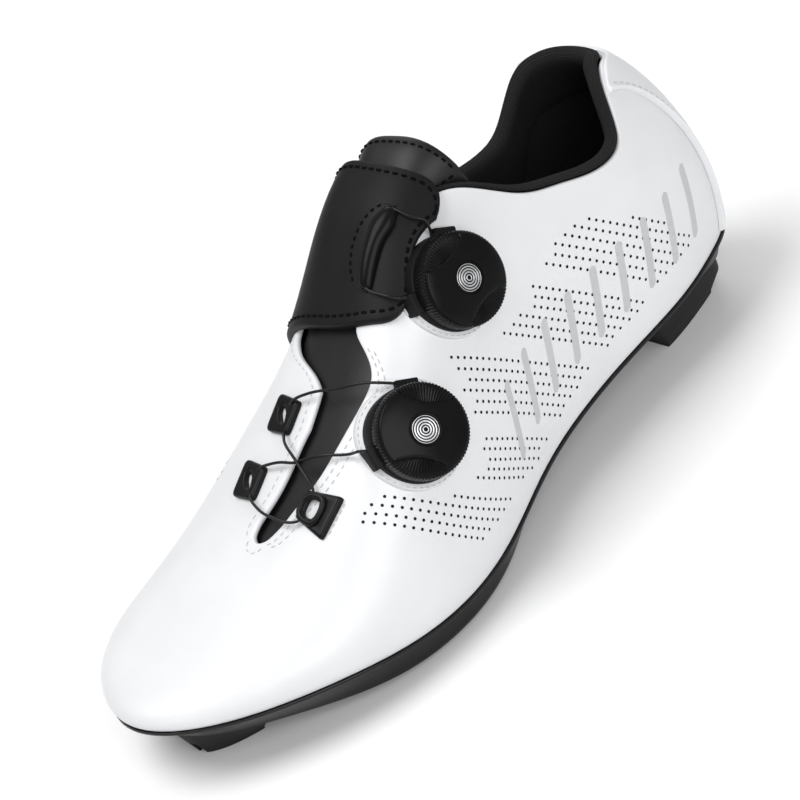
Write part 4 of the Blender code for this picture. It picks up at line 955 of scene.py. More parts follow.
def build_throat_stitches():
    """White rows just outside the throat's edge on both flaps and round its end."""
    along = np.concatenate([np.linspace(0.55, 0.758, 90), np.linspace(0.760, THROAT_END - 0.0005, 8)])
    rows = []
    for side, insets in ((1, (0.0034, 0.0062)), (-1, (0.0034,))):
        theta = side * station(along)
        for inset in insets:
            share = opening_share(theta) - inset / girth_length(theta)
            rows.append(row_on(on_last, theta, share, 0.0))
    turn = np.linspace(-0.5, 0.5, 12) * math.pi
    rows.append(row_on(over_ridge, THROAT_END + 0.0125 * np.cos(turn), 0.052 * np.sin(turn), 0.0))
    add_stitches("throat_stitches", rows, THROAT_STITCH, WHITE_THREAD, "white_leather")


def pinhole_discs(side):
    """Small dark dimples in slanting rows, in blocks along one side."""
    sides = 8
    turn = full_turn(sides)
    faces = [[k, (k + 1) % sides, sides + (k + 1) % sides, sides + k] for k in range(sides)]
    faces.append(list(range(sides, 2 * sides)))
    parts = []
    for start, low, high in PINHOLES:
        for up in np.arange(low, high, PINHOLE_STEP):
            theta = side * station((start + PINHOLE_SLOPE * up) / (LENGTH * 1000))
            share = up / 1000 / girth_length(theta)
            centre = on_last(theta, share)
            ahead = on_last(theta + side * 0.01, share) - centre
            lifted = on_last(theta, share, 0.001) - centre
            normal = lifted / np.linalg.norm(lifted)
            ahead -= normal * ahead.dot(normal)
            ahead /= np.linalg.norm(ahead)
            across = np.cross(normal, ahead)
            ring = np.cos(turn)[:, None] * ahead + np.sin(turn)[:, None] * across
            rim = centre + ring * PINHOLE_RADIUS + normal * 0.00004
            bed = centre + ring * PINHOLE_RADIUS * 0.5 + normal * 0.00002
            parts.append((np.concatenate([rim, bed]), faces))
    return parts


def build_pinholes():
    for name, side in (("outer", 1), ("inner", -1)):
        points, faces = join_parts(pinhole_discs(side))
        piece = make_piece(f"pinholes_{name}", points, faces, HOLE)
        settle(piece, "white_leather")


def build_motif():
    """Row of plain slanted reflective bars low on the outer side."""
    parts = []
    u, v = np.meshgrid(np.linspace(0, 1, 26), np.linspace(-1, 1, 9), indexing="ij")
    half_height, half_width = 0.0120, 0.0016
    for along in np.linspace(0.455, 0.085, 9):
        girth = float(girth_length(np.array([float(station(along))]))[0])
        middle = 0.206 + (0.467 - along) * 0.080
        up = (u - 0.5) * 2 * half_height
        from_end = half_height - np.abs(up)
        pinch = np.sqrt(np.clip(1 - np.clip(1 - from_end / half_width, 0, 1) ** 2, 0.0004, 1))
        place = along + (up * 0.32 * -1 + v * pinch * half_width) / LENGTH
        parts.append((on_last(station(place), middle + up / girth, 0.00004), grid_faces(26, 9)))
    points, faces = join_parts(parts)
    settle(make_piece("reflective_bars", points, faces, REFLECTIVE), "white_leather")


# Tongue and strap

def tongue_place(along, across):
    """Share of length, girth share and height of the tongue's top, with its half width and girth;
    across runs from -1 on the inner side to 1."""
    outer, inner, lift = (column(TONGUE, k)(along) for k in (1, 2, 3))
    width = np.where(across >= 0, outer, inner) * BALL_WIDTH
    theta = station(along)
    girth = np.where(across >= 0, girth_length(theta), girth_length(-theta))
    fade = np.clip((TONGUE_STRAIGHT - along) / (TONGUE_STRAIGHT - TONGUE[0][0]), 0, 1)
    wing = np.maximum(across, 0)
    place = across * width / girth * (1 + TONGUE_WING * fade * wing**2)
    height = np.maximum(lift, 0) * BALL_WIDTH - (UPPER_WALL + SEAT * 2.4) - TONGUE_TUCK * fade * wing**4
    return along - TONGUE_SLANT * place * fade, place, height, width, girth


def build_tongue():
    start = TONGUE[0][0]
    along = np.concatenate([start + 0.037 * (1 - np.cos(np.linspace(0, 0.5, 16) * math.pi)),
                            np.linspace(0.380, 0.775, 60), np.linspace(0.779, 0.795, 8)])
    across = np.linspace(-1, 1, 49)
    across = np.sign(across) * (1 - (1 - np.abs(across)) ** 1.25)
    grid_along, grid_across = np.meshgrid(along, across, indexing="ij")
    leaning, place, top, width, girth = tongue_place(grid_along, grid_across)
    border = np.minimum((1 - np.abs(grid_across)) * width, (grid_along - start) * LENGTH + 0.0002)
    full = rounded_edge(border, 0.0013)
    outside = over_ridge(leaning, place, top - TONGUE_THICK * 0.5 * (1 - full))
    inside = over_ridge(leaning, place, top - TONGUE_THICK * (0.5 + 0.5 * full))
    uv = np.stack([grid_along * LENGTH, place * girth], -1).reshape(-1, 2) * 1000
    piece = sheet("tongue_leather", outside, inside, TONGUE_LEATHER, uv, flip=True)
    settle(piece, "black_leather", "tongue")
    inset = 0.0030
    lines = [(np.full(60, start + inset / LENGTH), np.linspace(-0.82, 0.82, 60))]
    for side in (1, -1):
        line = np.linspace(start + 0.016, 0.385, 40)
        wide = column(TONGUE, 1 if side > 0 else 2)(line) * BALL_WIDTH
        lines.append((line, side * (1 - inset / wide)))
    rows = []
    for line, across in lines:
        leaning, place, top, _, _ = tongue_place(line, across)
        rows.append(row_on(over_ridge, leaning, place, top))
    add_stitches("tongue_stitches", rows, TONGUE_STITCH, BLACK_THREAD, "black_leather")


STRAP_TOP = SEAT + STRAP_THICK
STRAP_END = STRAP[0][0]
STRAP_SPAN = STRAP_END - STRAP[-1][0]
STRAP_CLEAR = DIAL_BASE_RADIUS + 0.0004
# Run and widest part of the strap, as its borders and its map take them
STRAP_RUN = 0.14
STRAP_WIDEST = 0.045


def strap_place(t, v):
    """Share of length and girth on the strap: t from the free end to the sole, v from rear to front."""
    table = sorted(STRAP)
    rear, front = column(table, 1), column(table, 2)
    nominal = STRAP_END - STRAP_SPAN * t
    along = rear(nominal) + (front(nominal) - rear(nominal)) * v
    dial_along, dial_share = DIALS[0][1:]
    reach = np.sqrt(np.maximum(STRAP_CLEAR**2 - ((along - dial_along) * LENGTH) ** 2, 0))
    girth = girth_length(station(along))
    limit = np.minimum(STRAP_END, (1 - dial_share) - reach / girth)
    pull = np.clip(1 - t / 0.14, 0, 1) ** 1.5
    return along, nominal + (limit - STRAP_END) * pull


def build_strap():
    table = sorted(STRAP)

    def width_at(t):
        nominal = STRAP_END - STRAP_SPAN * t
        return (column(table, 2)(nominal) - column(table, 1)(nominal)) * LENGTH
    shares = spread(STRAP_RUN, 0.0012, 150), spread(STRAP_WIDEST, 0.0012, 40)
    grid_t, grid_v = np.meshgrid(*shares, indexing="ij")
    along, girth = strap_place(grid_t, grid_v)
    border_v = np.minimum(grid_v, 1 - grid_v) * width_at(grid_t)
    border_t = np.minimum(grid_t, 1 - grid_t) * STRAP_RUN
    full = rounded_edge(border_v, 0.0011) * rounded_edge(border_t, 0.0011)
    base = 0.00015
    top = over_ridge(along, girth, base + (STRAP_TOP - base) * full)
    uv = np.stack([grid_t * STRAP_RUN, grid_v * STRAP_WIDEST], -1).reshape(-1, 2) * 1000
    piece = sheet("strap_leather", top, over_ridge(along, girth, base), BLACK, uv)
    settle(piece, "black_leather", "strap")
    inset = 0.0029
    from_end = inset / STRAP_RUN
    t_row = np.linspace(from_end, 0.98, 200)
    share = inset / width_at(t_row)
    end_v = np.linspace(share[0], 1 - share[0], 60)
    lines = (t_row, share), (t_row, 1 - share), (np.full(60, from_end), end_v)
    rows = [row_on(over_ridge, *strap_place(*line), STRAP_TOP) for line in lines]
    add_stitches("strap_stitches", rows, STRAP_STITCH, BLACK_THREAD, "black_leather")


def build_strap_guide():
    """Stitched patch on the strap and the raised crescent that carries the upper cord."""
    seat = seat_frame(*STRAP_GUIDE)
    half = STRAP_GUIDE_LENGTH / 2
    bend = spread(STRAP_GUIDE_LENGTH, 0.001, 40) * 2 - 1
    depth = spread(0.009, 0.0008, 14)
    grid_b, grid_d = np.meshgrid(bend, depth, indexing="ij")
    bow = np.sqrt(np.maximum(1 - grid_b**2, 0))
    x = -0.0012 + 0.0020 * bow + grid_d * (0.0018 + 0.0088 * bow)
    y = grid_b * half * 1.06
    ground = drop(seat, x, y) + STRAP_TOP
    edge = np.minimum(np.minimum(grid_d, 1 - grid_d) * 0.009, (1 - np.abs(grid_b)) * half)
    top = to_world(seat, x, y, ground + 0.0007 * rounded_edge(edge, 0.0006) - 0.00002)
    piece = make_piece("strap_patch", top, grid_faces(*x.shape, flip=True), BLACK)
    settle(piece, "black_leather")
    line = np.linspace(-0.93, 0.93, 70)
    bow = np.sqrt(1 - line**2)
    x = -0.0012 + 0.0020 * bow + 0.84 * (0.0018 + 0.0088 * bow)
    y = line * half * 1.06
    ground = drop(seat, x, y) + STRAP_TOP + 0.0006
    row = row_on(to_world, seat, x, y, ground)
    add_stitches("patch_stitches", [row], PATCH_STITCH, BLACK_THREAD, "black_leather")
    s = np.linspace(-1, 1, 41)
    turn = full_turn(18)
    grid_s, grid_a = np.meshgrid(s, turn, indexing="ij")
    swell = np.sqrt(np.maximum(1 - grid_s**2, 0.0)) ** 0.6
    wide = 0.0012 + 0.0021 * swell + 0.0010 * np.exp(-((grid_s + 0.55) / 0.28) ** 2)
    tall = 0.0011 + 0.0017 * swell
    x = STRAP_GUIDE_BOW * (1 - grid_s**2) + np.cos(grid_a) * wide
    y = grid_s * half
    ground = drop(seat, STRAP_GUIDE_BOW * (1 - grid_s**2), y) + STRAP_TOP
    z = ground + 0.0001 + np.maximum(np.sin(grid_a), -0.15) * tall
    crescent = to_world(seat, x, y, z)
    piece = make_piece("strap_cord_guide", crescent, tube_faces(*x.shape), DIAL)
    settle(piece, "dial_plastic", "strap_guide")


# Dials

def polar_ring(radii, heights, count, seat):
    """Ring surface in a frame: radii and heights are functions of the angle or numbers."""
    turn = full_turn(count)
    rings = []
    for radius, height in zip(radii, heights):
        radius = radius(turn) if callable(radius) else np.full(count, radius)
        x, y = radius * np.cos(turn), radius * np.sin(turn)
        z = height(x, y) if callable(height) else np.full(count, height)
        rings.append(to_world(seat, x, y, z))
    grid = np.stack(rings)
    return grid, grid_faces(len(radii), count, close_columns=True)


def base_outline(turn):
    """Round housing with two square lugs."""
    radius = np.full_like(turn, DIAL_BASE_RADIUS)
    for lug in DIAL_LUG_TURNS:
        away = np.abs((turn - math.radians(lug) + math.pi) % (2 * math.pi) - math.pi)
        side = DIAL_LUG_WIDTH / 2 / np.maximum(np.sin(np.minimum(away, math.pi / 2)), 1e-6)
        tip = DIAL_LUG_REACH / np.maximum(np.cos(np.minimum(away, 1.4)), 1e-6)
        box = np.where(away < 0.8, np.minimum(side, tip), 0)
        radius = np.maximum(radius, box)
    return radius


def lens_edge(turn, radius):
    """Border of the knob's cover: a circle with two wide bites."""
    edge = np.full_like(turn, radius * KNOB_COVER)
    away_centre, bite = radius * 2.0, radius * 1.42
    for k in range(2):
        away = (turn - math.radians(180 * k) + math.pi) % (2 * math.pi) - math.pi
        inside = bite**2 - (away_centre * np.sin(away)) ** 2
        cut = away_centre * np.cos(away) - np.sqrt(np.maximum(inside, 0))
        edge = np.where((inside > 0) & (np.abs(away) < 0.9), np.minimum(edge, cut), edge)
    return edge


def above_last(seat, extra):
    """Height as a function of x and y in a frame, extra above the last."""
    return lambda x, y: drop(seat, x, y) + extra


def build_dial(name, seat, knob_turn):
    patch_top = SEAT + DIAL_PATCH_THICK
    full_ring = name == "lower"
    insets = 0, 0, 0.00015, 0.0005, 0.0011
    radii = [DIAL_PATCH_RADIUS - inset for inset in insets] + [DIAL_BASE_RADIUS - 0.0015]
    lifts = [patch_top * share for share in (0, 0.55, 0.82, 0.97, 1, 1)]
    grid, faces = polar_ring(radii, [above_last(seat, lift_by) for lift_by in lifts], 120, seat)
    if not full_ring:
        local = np.array(seat.inverted())
        centres = grid.reshape(-1, 3)[faces].mean(1) @ local[:3, :3].T + local[:3, 3]
        faces = faces[centres[:, 0] < 0.006]
    settle(make_piece(f"dial_ring_{name}", grid, faces, WHITE_TRIM), "white_leather", f"dial_patch_{name}")
    turn = np.linspace(0, 2 * math.pi, 160)
    if not full_ring:
        turn = np.linspace(0.42, 1.58, 90) * math.pi
    x, y = RING_STITCH_RADIUS * np.cos(turn), RING_STITCH_RADIUS * np.sin(turn)
    z = drop(seat, x, y) + patch_top
    row = row_on(to_world, seat, x, y, z)
    add_stitches(f"dial_ring_stitches_{name}", [row], RING_STITCH, WHITE_THREAD, "white_leather")
    build_dial_base(name, seat, patch_top)
    build_knob(name, seat @ Matrix.Rotation(math.radians(knob_turn), 4, "Z"))


def build_dial_base(name, seat, patch_top):
    low = patch_top + 0.0001 if name == "lower" else SEAT

    def border(inset):
        return lambda turn: base_outline(turn) - inset
    radii = [border(0), border(0), border(0.0002), border(0.0007), 0.012]
    heights = [above_last(seat, low)] + [DIAL_BASE_TOP - down for down in (0.0008, 0.0003, 0, 0)]
    grid, faces = polar_ring(radii, heights, 360, seat)
    piece = make_piece(f"dial_housing_{name}", grid, faces, DIAL_MATT, crease=35)
    settle(piece, "dial_plastic", f"dial_base_{name}")


def build_knob(name, seat):
    count = 504
    ribs = 84
    turn = full_turn(count)
    low = DIAL_BASE_TOP + GAP
    top = low + DIAL_KNOB_HEIGHT
    shelf = top - 0.0022
    rib = 0.5 + 0.5 * np.cos(turn * ribs)
    edge = lens_edge(turn, DIAL_RADIUS)
    notch = KNOB_NOTCH * (1 - rib)
    in_bite = np.clip((DIAL_RADIUS * KNOB_COVER - edge) / 0.0006, 0, 1)

    def dome(radius):
        return top - 0.0016 * (radius / DIAL_RADIUS) ** 2.2
    side = [
        (DIAL_RADIUS * KNOB_COVER, low),
        (DIAL_RADIUS * 0.985 - 0.0001 * rib, low + 0.0004),
        (DIAL_RADIUS - notch, low + 0.0010),
        (DIAL_RADIUS - notch, shelf - 0.0009),
        (DIAL_RADIUS * 0.985 - 0.00028 * (1 - rib), shelf - 0.0002),
    ]
    for share in (0.0, 0.33, 0.66, 1.0):
        radius = DIAL_RADIUS * 0.965 * (1 - share) + (edge + 0.0001) * share
        side.append((radius, shelf + 0.0001 - notch * in_bite + 0.0007 * share * in_bite))
    side.append((edge, dome(edge) - 0.0007))
    side.append((edge - 0.00012, dome(edge) - 0.0003))
    side.append((edge - 0.0004, dome(edge - 0.0004) - 0.00008))
    for share in (0.0, 0.3, 0.6, 1.0):
        radius = (edge - 0.0008) * (1 - share) + 0.0056 * share
        side.append((radius, dome(radius)))
    for radius, down in ((0.0054, 0.00035), (0.0050, 0.0004), (0.0047, 0.0001), (0.0044, 0)):
        side.append((radius, dome(radius) - down))
    side += [(0.0020, top - 0.00012), (0.00001, top - 0.0001)]
    rings = [to_world(seat, r * np.cos(turn), r * np.sin(turn), z) for r, z in side]
    faces = grid_faces(len(side), count, close_columns=True)
    piece = make_piece(f"dial_cap_{name}", np.stack(rings), faces, DIAL, crease=38)
    settle(piece, "dial_plastic", f"dial_knob_{name}")
    parts = []
    around = full_turn(64)
    for radius, width in DIAL_RINGS:
        rows = []
        for part, up in ((-0.5, 0.00002), (-0.25, 0.00007), (0.25, 0.00007), (0.5, 0.00002)):
            r = radius + width * part
            rows.append(to_world(seat, r * np.cos(around), r * np.sin(around), dome(r) + up))
        parts.append((np.stack(rows), grid_faces(4, 64, close_columns=True)))
    points, faces = join_parts(parts)
    settle(make_piece(f"dial_rings_{name}", points, faces, SILVER), "nut_steel")


# Guides and cord

def box_outline(turn, length, width, taper, power=0.4):
    """Rounded box: length along Y, width along X, narrower by taper towards +X."""
    cosine, sine = np.cos(turn), np.sin(turn)
    x = np.sign(cosine) * np.abs(cosine) ** power * width / 2
    y = np.sign(sine) * np.abs(sine) ** power * length / 2
    return x, y * (1 - taper * x / width)


def build_plate(name, seat, outline, window, node, thick=GUIDE_THICK, power=0.25):
    """Moulded plate with a window, which may lean, seated on the last."""
    count = 96
    turn = full_turn(count)
    length, width, taper = outline
    hole_length, hole_width, hole_x, lean = window
    lean = math.radians(lean)
    rings = []
    for inset, height, on_ground in (
        (0.0, 0.00005, True), (0.0, thick - 0.0009, False), (0.00015, thick - 0.0005, False),
        (0.0005, thick - 0.00012, False), (0.0010, thick, False), (0.0017, thick - 0.00005, False),
    ):
        x, y = box_outline(turn, length - 2 * inset, width - 2 * inset, taper, power)
        rings.append((x, y, height, on_ground))
    for grow, height, on_ground in (
        (0.0009, thick - 0.00005, False), (0.0003, thick - 0.00025, False), (0.0, thick - 0.0006, False),
        (0.0, 0.00005, True),
    ):
        straight_x, straight_y = box_outline(turn, hole_length + 2 * grow, hole_width + 2 * grow, 0.0, 0.7)
        x = hole_x + straight_x * math.cos(lean) - straight_y * math.sin(lean)
        y = straight_x * math.sin(lean) + straight_y * math.cos(lean)
        rings.append((x, y, height, on_ground))
    points = []
    for x, y, height, on_ground in rings:
        ground = drop(seat, x, y)
        z = ground + height if on_ground else np.maximum(height, ground + 0.0008)
        points.append(to_world(seat, x, y, z))
    grid = np.stack(points)
    piece = make_piece(name, grid, grid_faces(len(rings), count, close_columns=True), GUIDE, crease=40)
    settle(piece, "dial_plastic", node)


def build_guides():
    for name, along, side, share, turn in GUIDES:
        seat = seat_frame(along, side, share, turn + MEDIAL_TURN)
        build_plate(f"cord_guide_{name}", seat, MEDIAL_PLATE, MEDIAL_WINDOW, f"lace_guide_{name}", 0.0022)
    seat = seat_frame(*OUTER_GUIDE)
    build_plate("cord_guide_tab", seat, OUTER_PLATE, OUTER_WINDOW, "lace_guide_outer", 0.0017, 0.14)
    turn = full_turn(72)
    section = full_turn(14)
    grid_t, grid_s = np.meshgrid(turn, section, indexing="ij")
    x, y = box_outline(grid_t, 0.0088, 0.0080, 0.25, 0.75)
    thick = 0.0011
    grow = 1 + thick * np.cos(grid_s) / 0.0044
    loop = to_world(seat, 0.0018 + x * grow, y * grow, 0.0021 + thick * 0.85 * np.sin(grid_s))
    faces = grid_faces(*grid_t.shape, close_rows=True, close_columns=True)
    piece = make_piece("cord_guide_loop", loop, faces, GUIDE)
    settle(piece, "dial_plastic", "lace_guide_outer")
    line = np.linspace(-1, 1, 24)
    x, y = -0.0076, line * 0.0062
    ground = drop(seat, x, y)
    row = row_on(to_world, seat, x, y, ground)
    add_stitches("tab_stitches", [row], TAB_STITCH, WHITE_THREAD, "white_leather")


def in_frame(seat, x, y, z):
    return np.array(seat @ Vector((x, y, z)))


def dial_exit(number, lug):
    along, share = DIALS[number][1:]
    seat = seat_frame(along, 1, share) @ Matrix.Rotation(math.radians(DIAL_LUG_TURNS[lug]), 4, "Z")
    half = DIAL_LUG_WIDTH / 2
    if lug == 0:
        return [in_frame(seat, DIAL_LUG_REACH - 0.0010, half - 0.0010, 0.0016),
                in_frame(seat, DIAL_LUG_REACH - 0.0006, half + LACE_RADIUS + GAP, 0.0018)]
    return [in_frame(seat, DIAL_LUG_REACH - 0.0020, 0.0016 - half, 0.0018),
            in_frame(seat, DIAL_LUG_REACH + 0.0012, -0.0004 - half, 0.0020)]


def guide_point(number, x, y, z=0.0018):
    along, side, share, turn = (*[g[1:] for g in GUIDES], OUTER_GUIDE)[number]
    return in_frame(seat_frame(along, side, share, turn), x, y, z)


def cord_tube(name, route, node_names):
    """Smooth round cord through the route's points."""
    route = np.asarray(route, float)
    run = run_along(route, 0.8)
    at = np.linspace(0, run[-1], max(24, len(route) * 9))
    path = np.column_stack([natural_curve(run, route[:, axis])(at) for axis in range(3)])
    heading = np.gradient(path, axis=0)
    heading /= np.linalg.norm(heading, axis=1, keepdims=True)
    turn = full_turn(12)
    rings, across = [], Vector((0, 0, 1))
    for point, ahead in zip(path, heading):
        ahead = Vector(ahead)
        across = (across - ahead * across.dot(ahead)).normalized()
        other = ahead.cross(across)
        spokes = [across * math.cos(t) + other * math.sin(t) for t in turn]
        rings.append([Vector(point) + spoke * CORD_RADIUS for spoke in spokes])
    settle(make_piece(name, np.array(rings), tube_faces(len(rings), 12), CORD), "lace_cord", *node_names)


def build_cords():
    def over(*spots):
        return [over_ridge(*spot) for spot in spots]
    first = [guide_point(0, 0.0026, 0.0020, 0.0014), guide_point(0, 0.0012, -0.0040, 0.0012)]
    second = [guide_point(1, 0.0012, -0.0040, 0.0012), guide_point(1, 0.0026, 0.0020, 0.0014)]
    outer = [guide_point(2, 0.0040, -0.0046, 0.0016), guide_point(2, 0.0052, -0.0020, 0.0014),
             guide_point(2, 0.0052, 0.0020, 0.0014), guide_point(2, 0.0040, 0.0046, 0.0016)]
    route = dial_exit(1, 0)
    route += over((0.583, 0.190, 0.0040), (0.592, 0.140, 0.0038), (0.600, 0.080, 0.0036))
    route += over((0.607, 0.010, 0.0038), (0.614, -0.050, 0.0034), (0.621, -0.096, 0.0026))
    route += first
    route += over((0.661, -0.070, 0.0030), (0.672, 0.005, 0.0044))
    route += over((0.681, 0.068, 0.0038), (0.689, 0.122, 0.0030))
    route += outer
    route += over((0.738, 0.124, 0.0030), (0.738, 0.060, 0.0034), (0.737, 0.000, 0.0036))
    route += over((0.733, -0.060, 0.0034), (0.727, -0.115, 0.0030))
    route += second
    route += over((0.688, -0.110, 0.0028), (0.682, -0.040, 0.0032), (0.679, 0.020, 0.0032))
    route += over((0.670, 0.090, 0.0032), (0.661, 0.165, 0.0030), (0.650, 0.245, 0.0028))
    route += dial_exit(1, 1)[::-1]
    cord_tube("lower_cord", route, ("lace_lower_front", "lace_lower_cross", "lace_lower_end"))
    seat = seat_frame(*STRAP_GUIDE)
    height = STRAP_TOP + 0.0012
    half = STRAP_GUIDE_LENGTH / 2
    route = dial_exit(0, 0) + over((0.413, 0.240, 0.0046), (0.420, 0.204, 0.0046))
    bend = np.linspace(-0.92, 0.92, 7)
    x, y = STRAP_GUIDE_BOW * (1 - bend**2), bend * half
    ground = drop(seat, x, y)
    route += [in_frame(seat, a, b, c + height) for a, b, c in zip(x, y, ground)]
    route += over((0.499, 0.196, 0.0044), (0.494, 0.236, 0.0044), (0.484, 0.274, 0.0044))
    route += dial_exit(0, 1)[::-1]
    cord_tube("upper_cord", route, ("lace_upper_rear", "lace_upper_front"))


# Sole

def lift(plan, height):
    z = height(plan[:, 0]) if callable(height) else np.full(len(plan), height)
    return np.column_stack([plan, z]) + SHIFT


def ring_piece(name, rings, finish, crease=40):
    """Solid from closed rings of equal length, each end closed by strips across the ring."""
    count = len(rings[0])
    faces = [list(f) for f in grid_faces(len(rings), count, close_columns=True)]
    for start, flip in ((0, False), ((len(rings) - 1) * count, True)):
        for i in range(count // 2):
            strip = [start + k % count for k in (i, i + 1, count - i - 1, count - i)]
            strip = list(dict.fromkeys(strip))
            if len(strip) > 2:
                faces.append(strip[::-1] if flip else strip)
    piece = make_piece(name, np.concatenate(rings), faces, finish, crease=crease)
    form = bmesh.new()
    form.from_mesh(piece.data)
    bmesh.ops.recalc_face_normals(form, faces=form.faces)
    form.to_mesh(piece.data)
    form.free()
    shade(piece.data, crease)
    return piece


def full_loop(count):
    side = np.linspace(0, math.pi, count)
    return np.concatenate([side, -side[-2:0:-1]])


def cut(piece, tools, crease):
    """Cut tools out of a piece, apply the result and shade it."""
    for tool in tools:
        change = piece.modifiers.new("cut", "BOOLEAN")
        change.operation = "DIFFERENCE"
        change.solver = "EXACT"
        change.object = tool
    graph = bpy.context.evaluated_depsgraph_get()
    made = bpy.data.meshes.new_from_object(piece.evaluated_get(graph))
    piece.modifiers.clear()
    piece.data = made
    for tool in tools:
        bpy.data.objects.remove(tool, do_unlink=True)
    shade(made, crease)


def lens_plan(start, end, width, peak=0.42, count=24):
    share = np.linspace(0, 1, count + 1)
    half = np.sin(share ** (math.log(0.5) / math.log(peak)) * math.pi) * width / 2
    x = start + (end - start) * share
    return np.concatenate([np.column_stack([x, half]), np.column_stack([x[-2:0:-1], -half[-2:0:-1]])])


def slot_plan(x, y, length, width, count=14):
    turn = np.linspace(-math.pi / 2, math.pi / 2, count)
    radius, reach = width / 2, (length - width) / 2
    front = np.column_stack([x + reach + radius * np.cos(turn), y + radius * np.sin(turn)])
    back = np.column_stack([x - reach - radius * np.cos(turn), y - radius * np.sin(turn)])
    return np.concatenate([front, back])


def round_plan(x, y, radius, count=28):
    turn = full_turn(count)
    return np.column_stack([x + radius * np.cos(turn), y + radius * np.sin(turn)])


def cutter(plan, ceiling, finish):
    """Upright cutter from below the floor up to a ceiling."""
    plan = np.asarray(plan, float)
    return ring_piece("cutter", [lift(plan, -0.005), lift(plan, ceiling)], finish)


def prism(plan, depth):
    """Cutter that goes depth into the sole's platform."""
    return cutter(plan, lambda x: platform_height(x) + depth, PLATFORM_FINISH)


def vent_plans():
    start, reach, apart, rib = 0.405 * LENGTH, 0.165 * LENGTH, 0.105 * BALL_WIDTH, 0.020 * BALL_WIDTH
    for place in (-1, 0, 1):
        corners = []
        for side in (-1, 1):
            edge = (place + side / 2) * 2 * apart
            length = reach * (1 - 0.10 * (edge / (3 * apart)) ** 2)
            corners.append(((start, edge * 0.42 - side * rib * 0.6), (start + length, edge - side * rib)))
        (a, b), (c, d) = corners
        yield [a, b, d, c]


def build_outsole():
    loop = full_loop(150)
    x = (1 - np.cos(loop)) / 2 * LENGTH
    inset = platform_inset(x)
    bevel = PLATFORM_BEVEL

    def under_rim(x):
        return seat_height(x) - GAP - RIM_THICK
    rings = [lift(inset_edge(loop, inset + bevel), platform_height)]
    rings.append(lift(inset_edge(loop, inset + bevel * 0.4), lambda x: platform_height(x) + bevel * 0.15))
    rings.append(lift(inset_edge(loop, inset), lambda x: platform_height(x) + bevel * 0.8))

    def wall(x, share):
        return (platform_height(x) + bevel * 0.8) * (1 - share) + (under_rim(x) - bevel * 0.6) * share
    for share in (0.15, 0.35, 0.55, 0.75, 0.92):
        ease = share ** 1.25
        plan = inset_edge(loop, inset * (1 - ease) + bevel * 0.3 * ease)
        rings.append(lift(plan, lambda x, s=share: wall(x, s)))
    rings.append(lift(inset_edge(loop, bevel * 0.25), lambda x: under_rim(x) - bevel * 0.4))
    rim = SOLE_RIM
    for out, up in RIM_SECTION:
        rings.append(lift(inset_edge(loop, -rim * out), lambda x, u=up: under_rim(x) + RIM_THICK * u))
    sole = ring_piece("outsole_plate", rings, SOLE, crease=32)
    tools = [prism(lens_plan(0.205 * LENGTH, 0.395 * LENGTH, 0.22 * BALL_WIDTH), RECESS_DEPTH)]
    tools += [prism(plan, VENT_DEPTH) for plan in vent_plans()]
    for side in (-1, 1):
        place = CLEAT_ALONG * LENGTH, side * CLEAT_ACROSS / 2
        tools.append(prism(slot_plan(*place, CLEAT_SLOT_LENGTH, CLEAT_SLOT_WIDTH), CLEAT_SLOT_DEPTH))
        hole = CLEAT_ALONG * LENGTH - CLEAT_SLOT_LENGTH * 0.42, side * CLEAT_ACROSS * 1.25
        tools.append(prism(round_plan(*hole, SCREW_HOLE_RADIUS), RECESS_DEPTH))
    cut(sole, tools, 32)
    sole.data.materials.append(PLATFORM_FINISH)
    for face in sole.data.polygons:
        below = platform_height(face.center.x - SHIFT[0])
        if face.normal.z < -0.75 and face.center.z < below + 0.0045:
            face.material_index = 1
    settle(sole, "sole_nylon", "outsole")


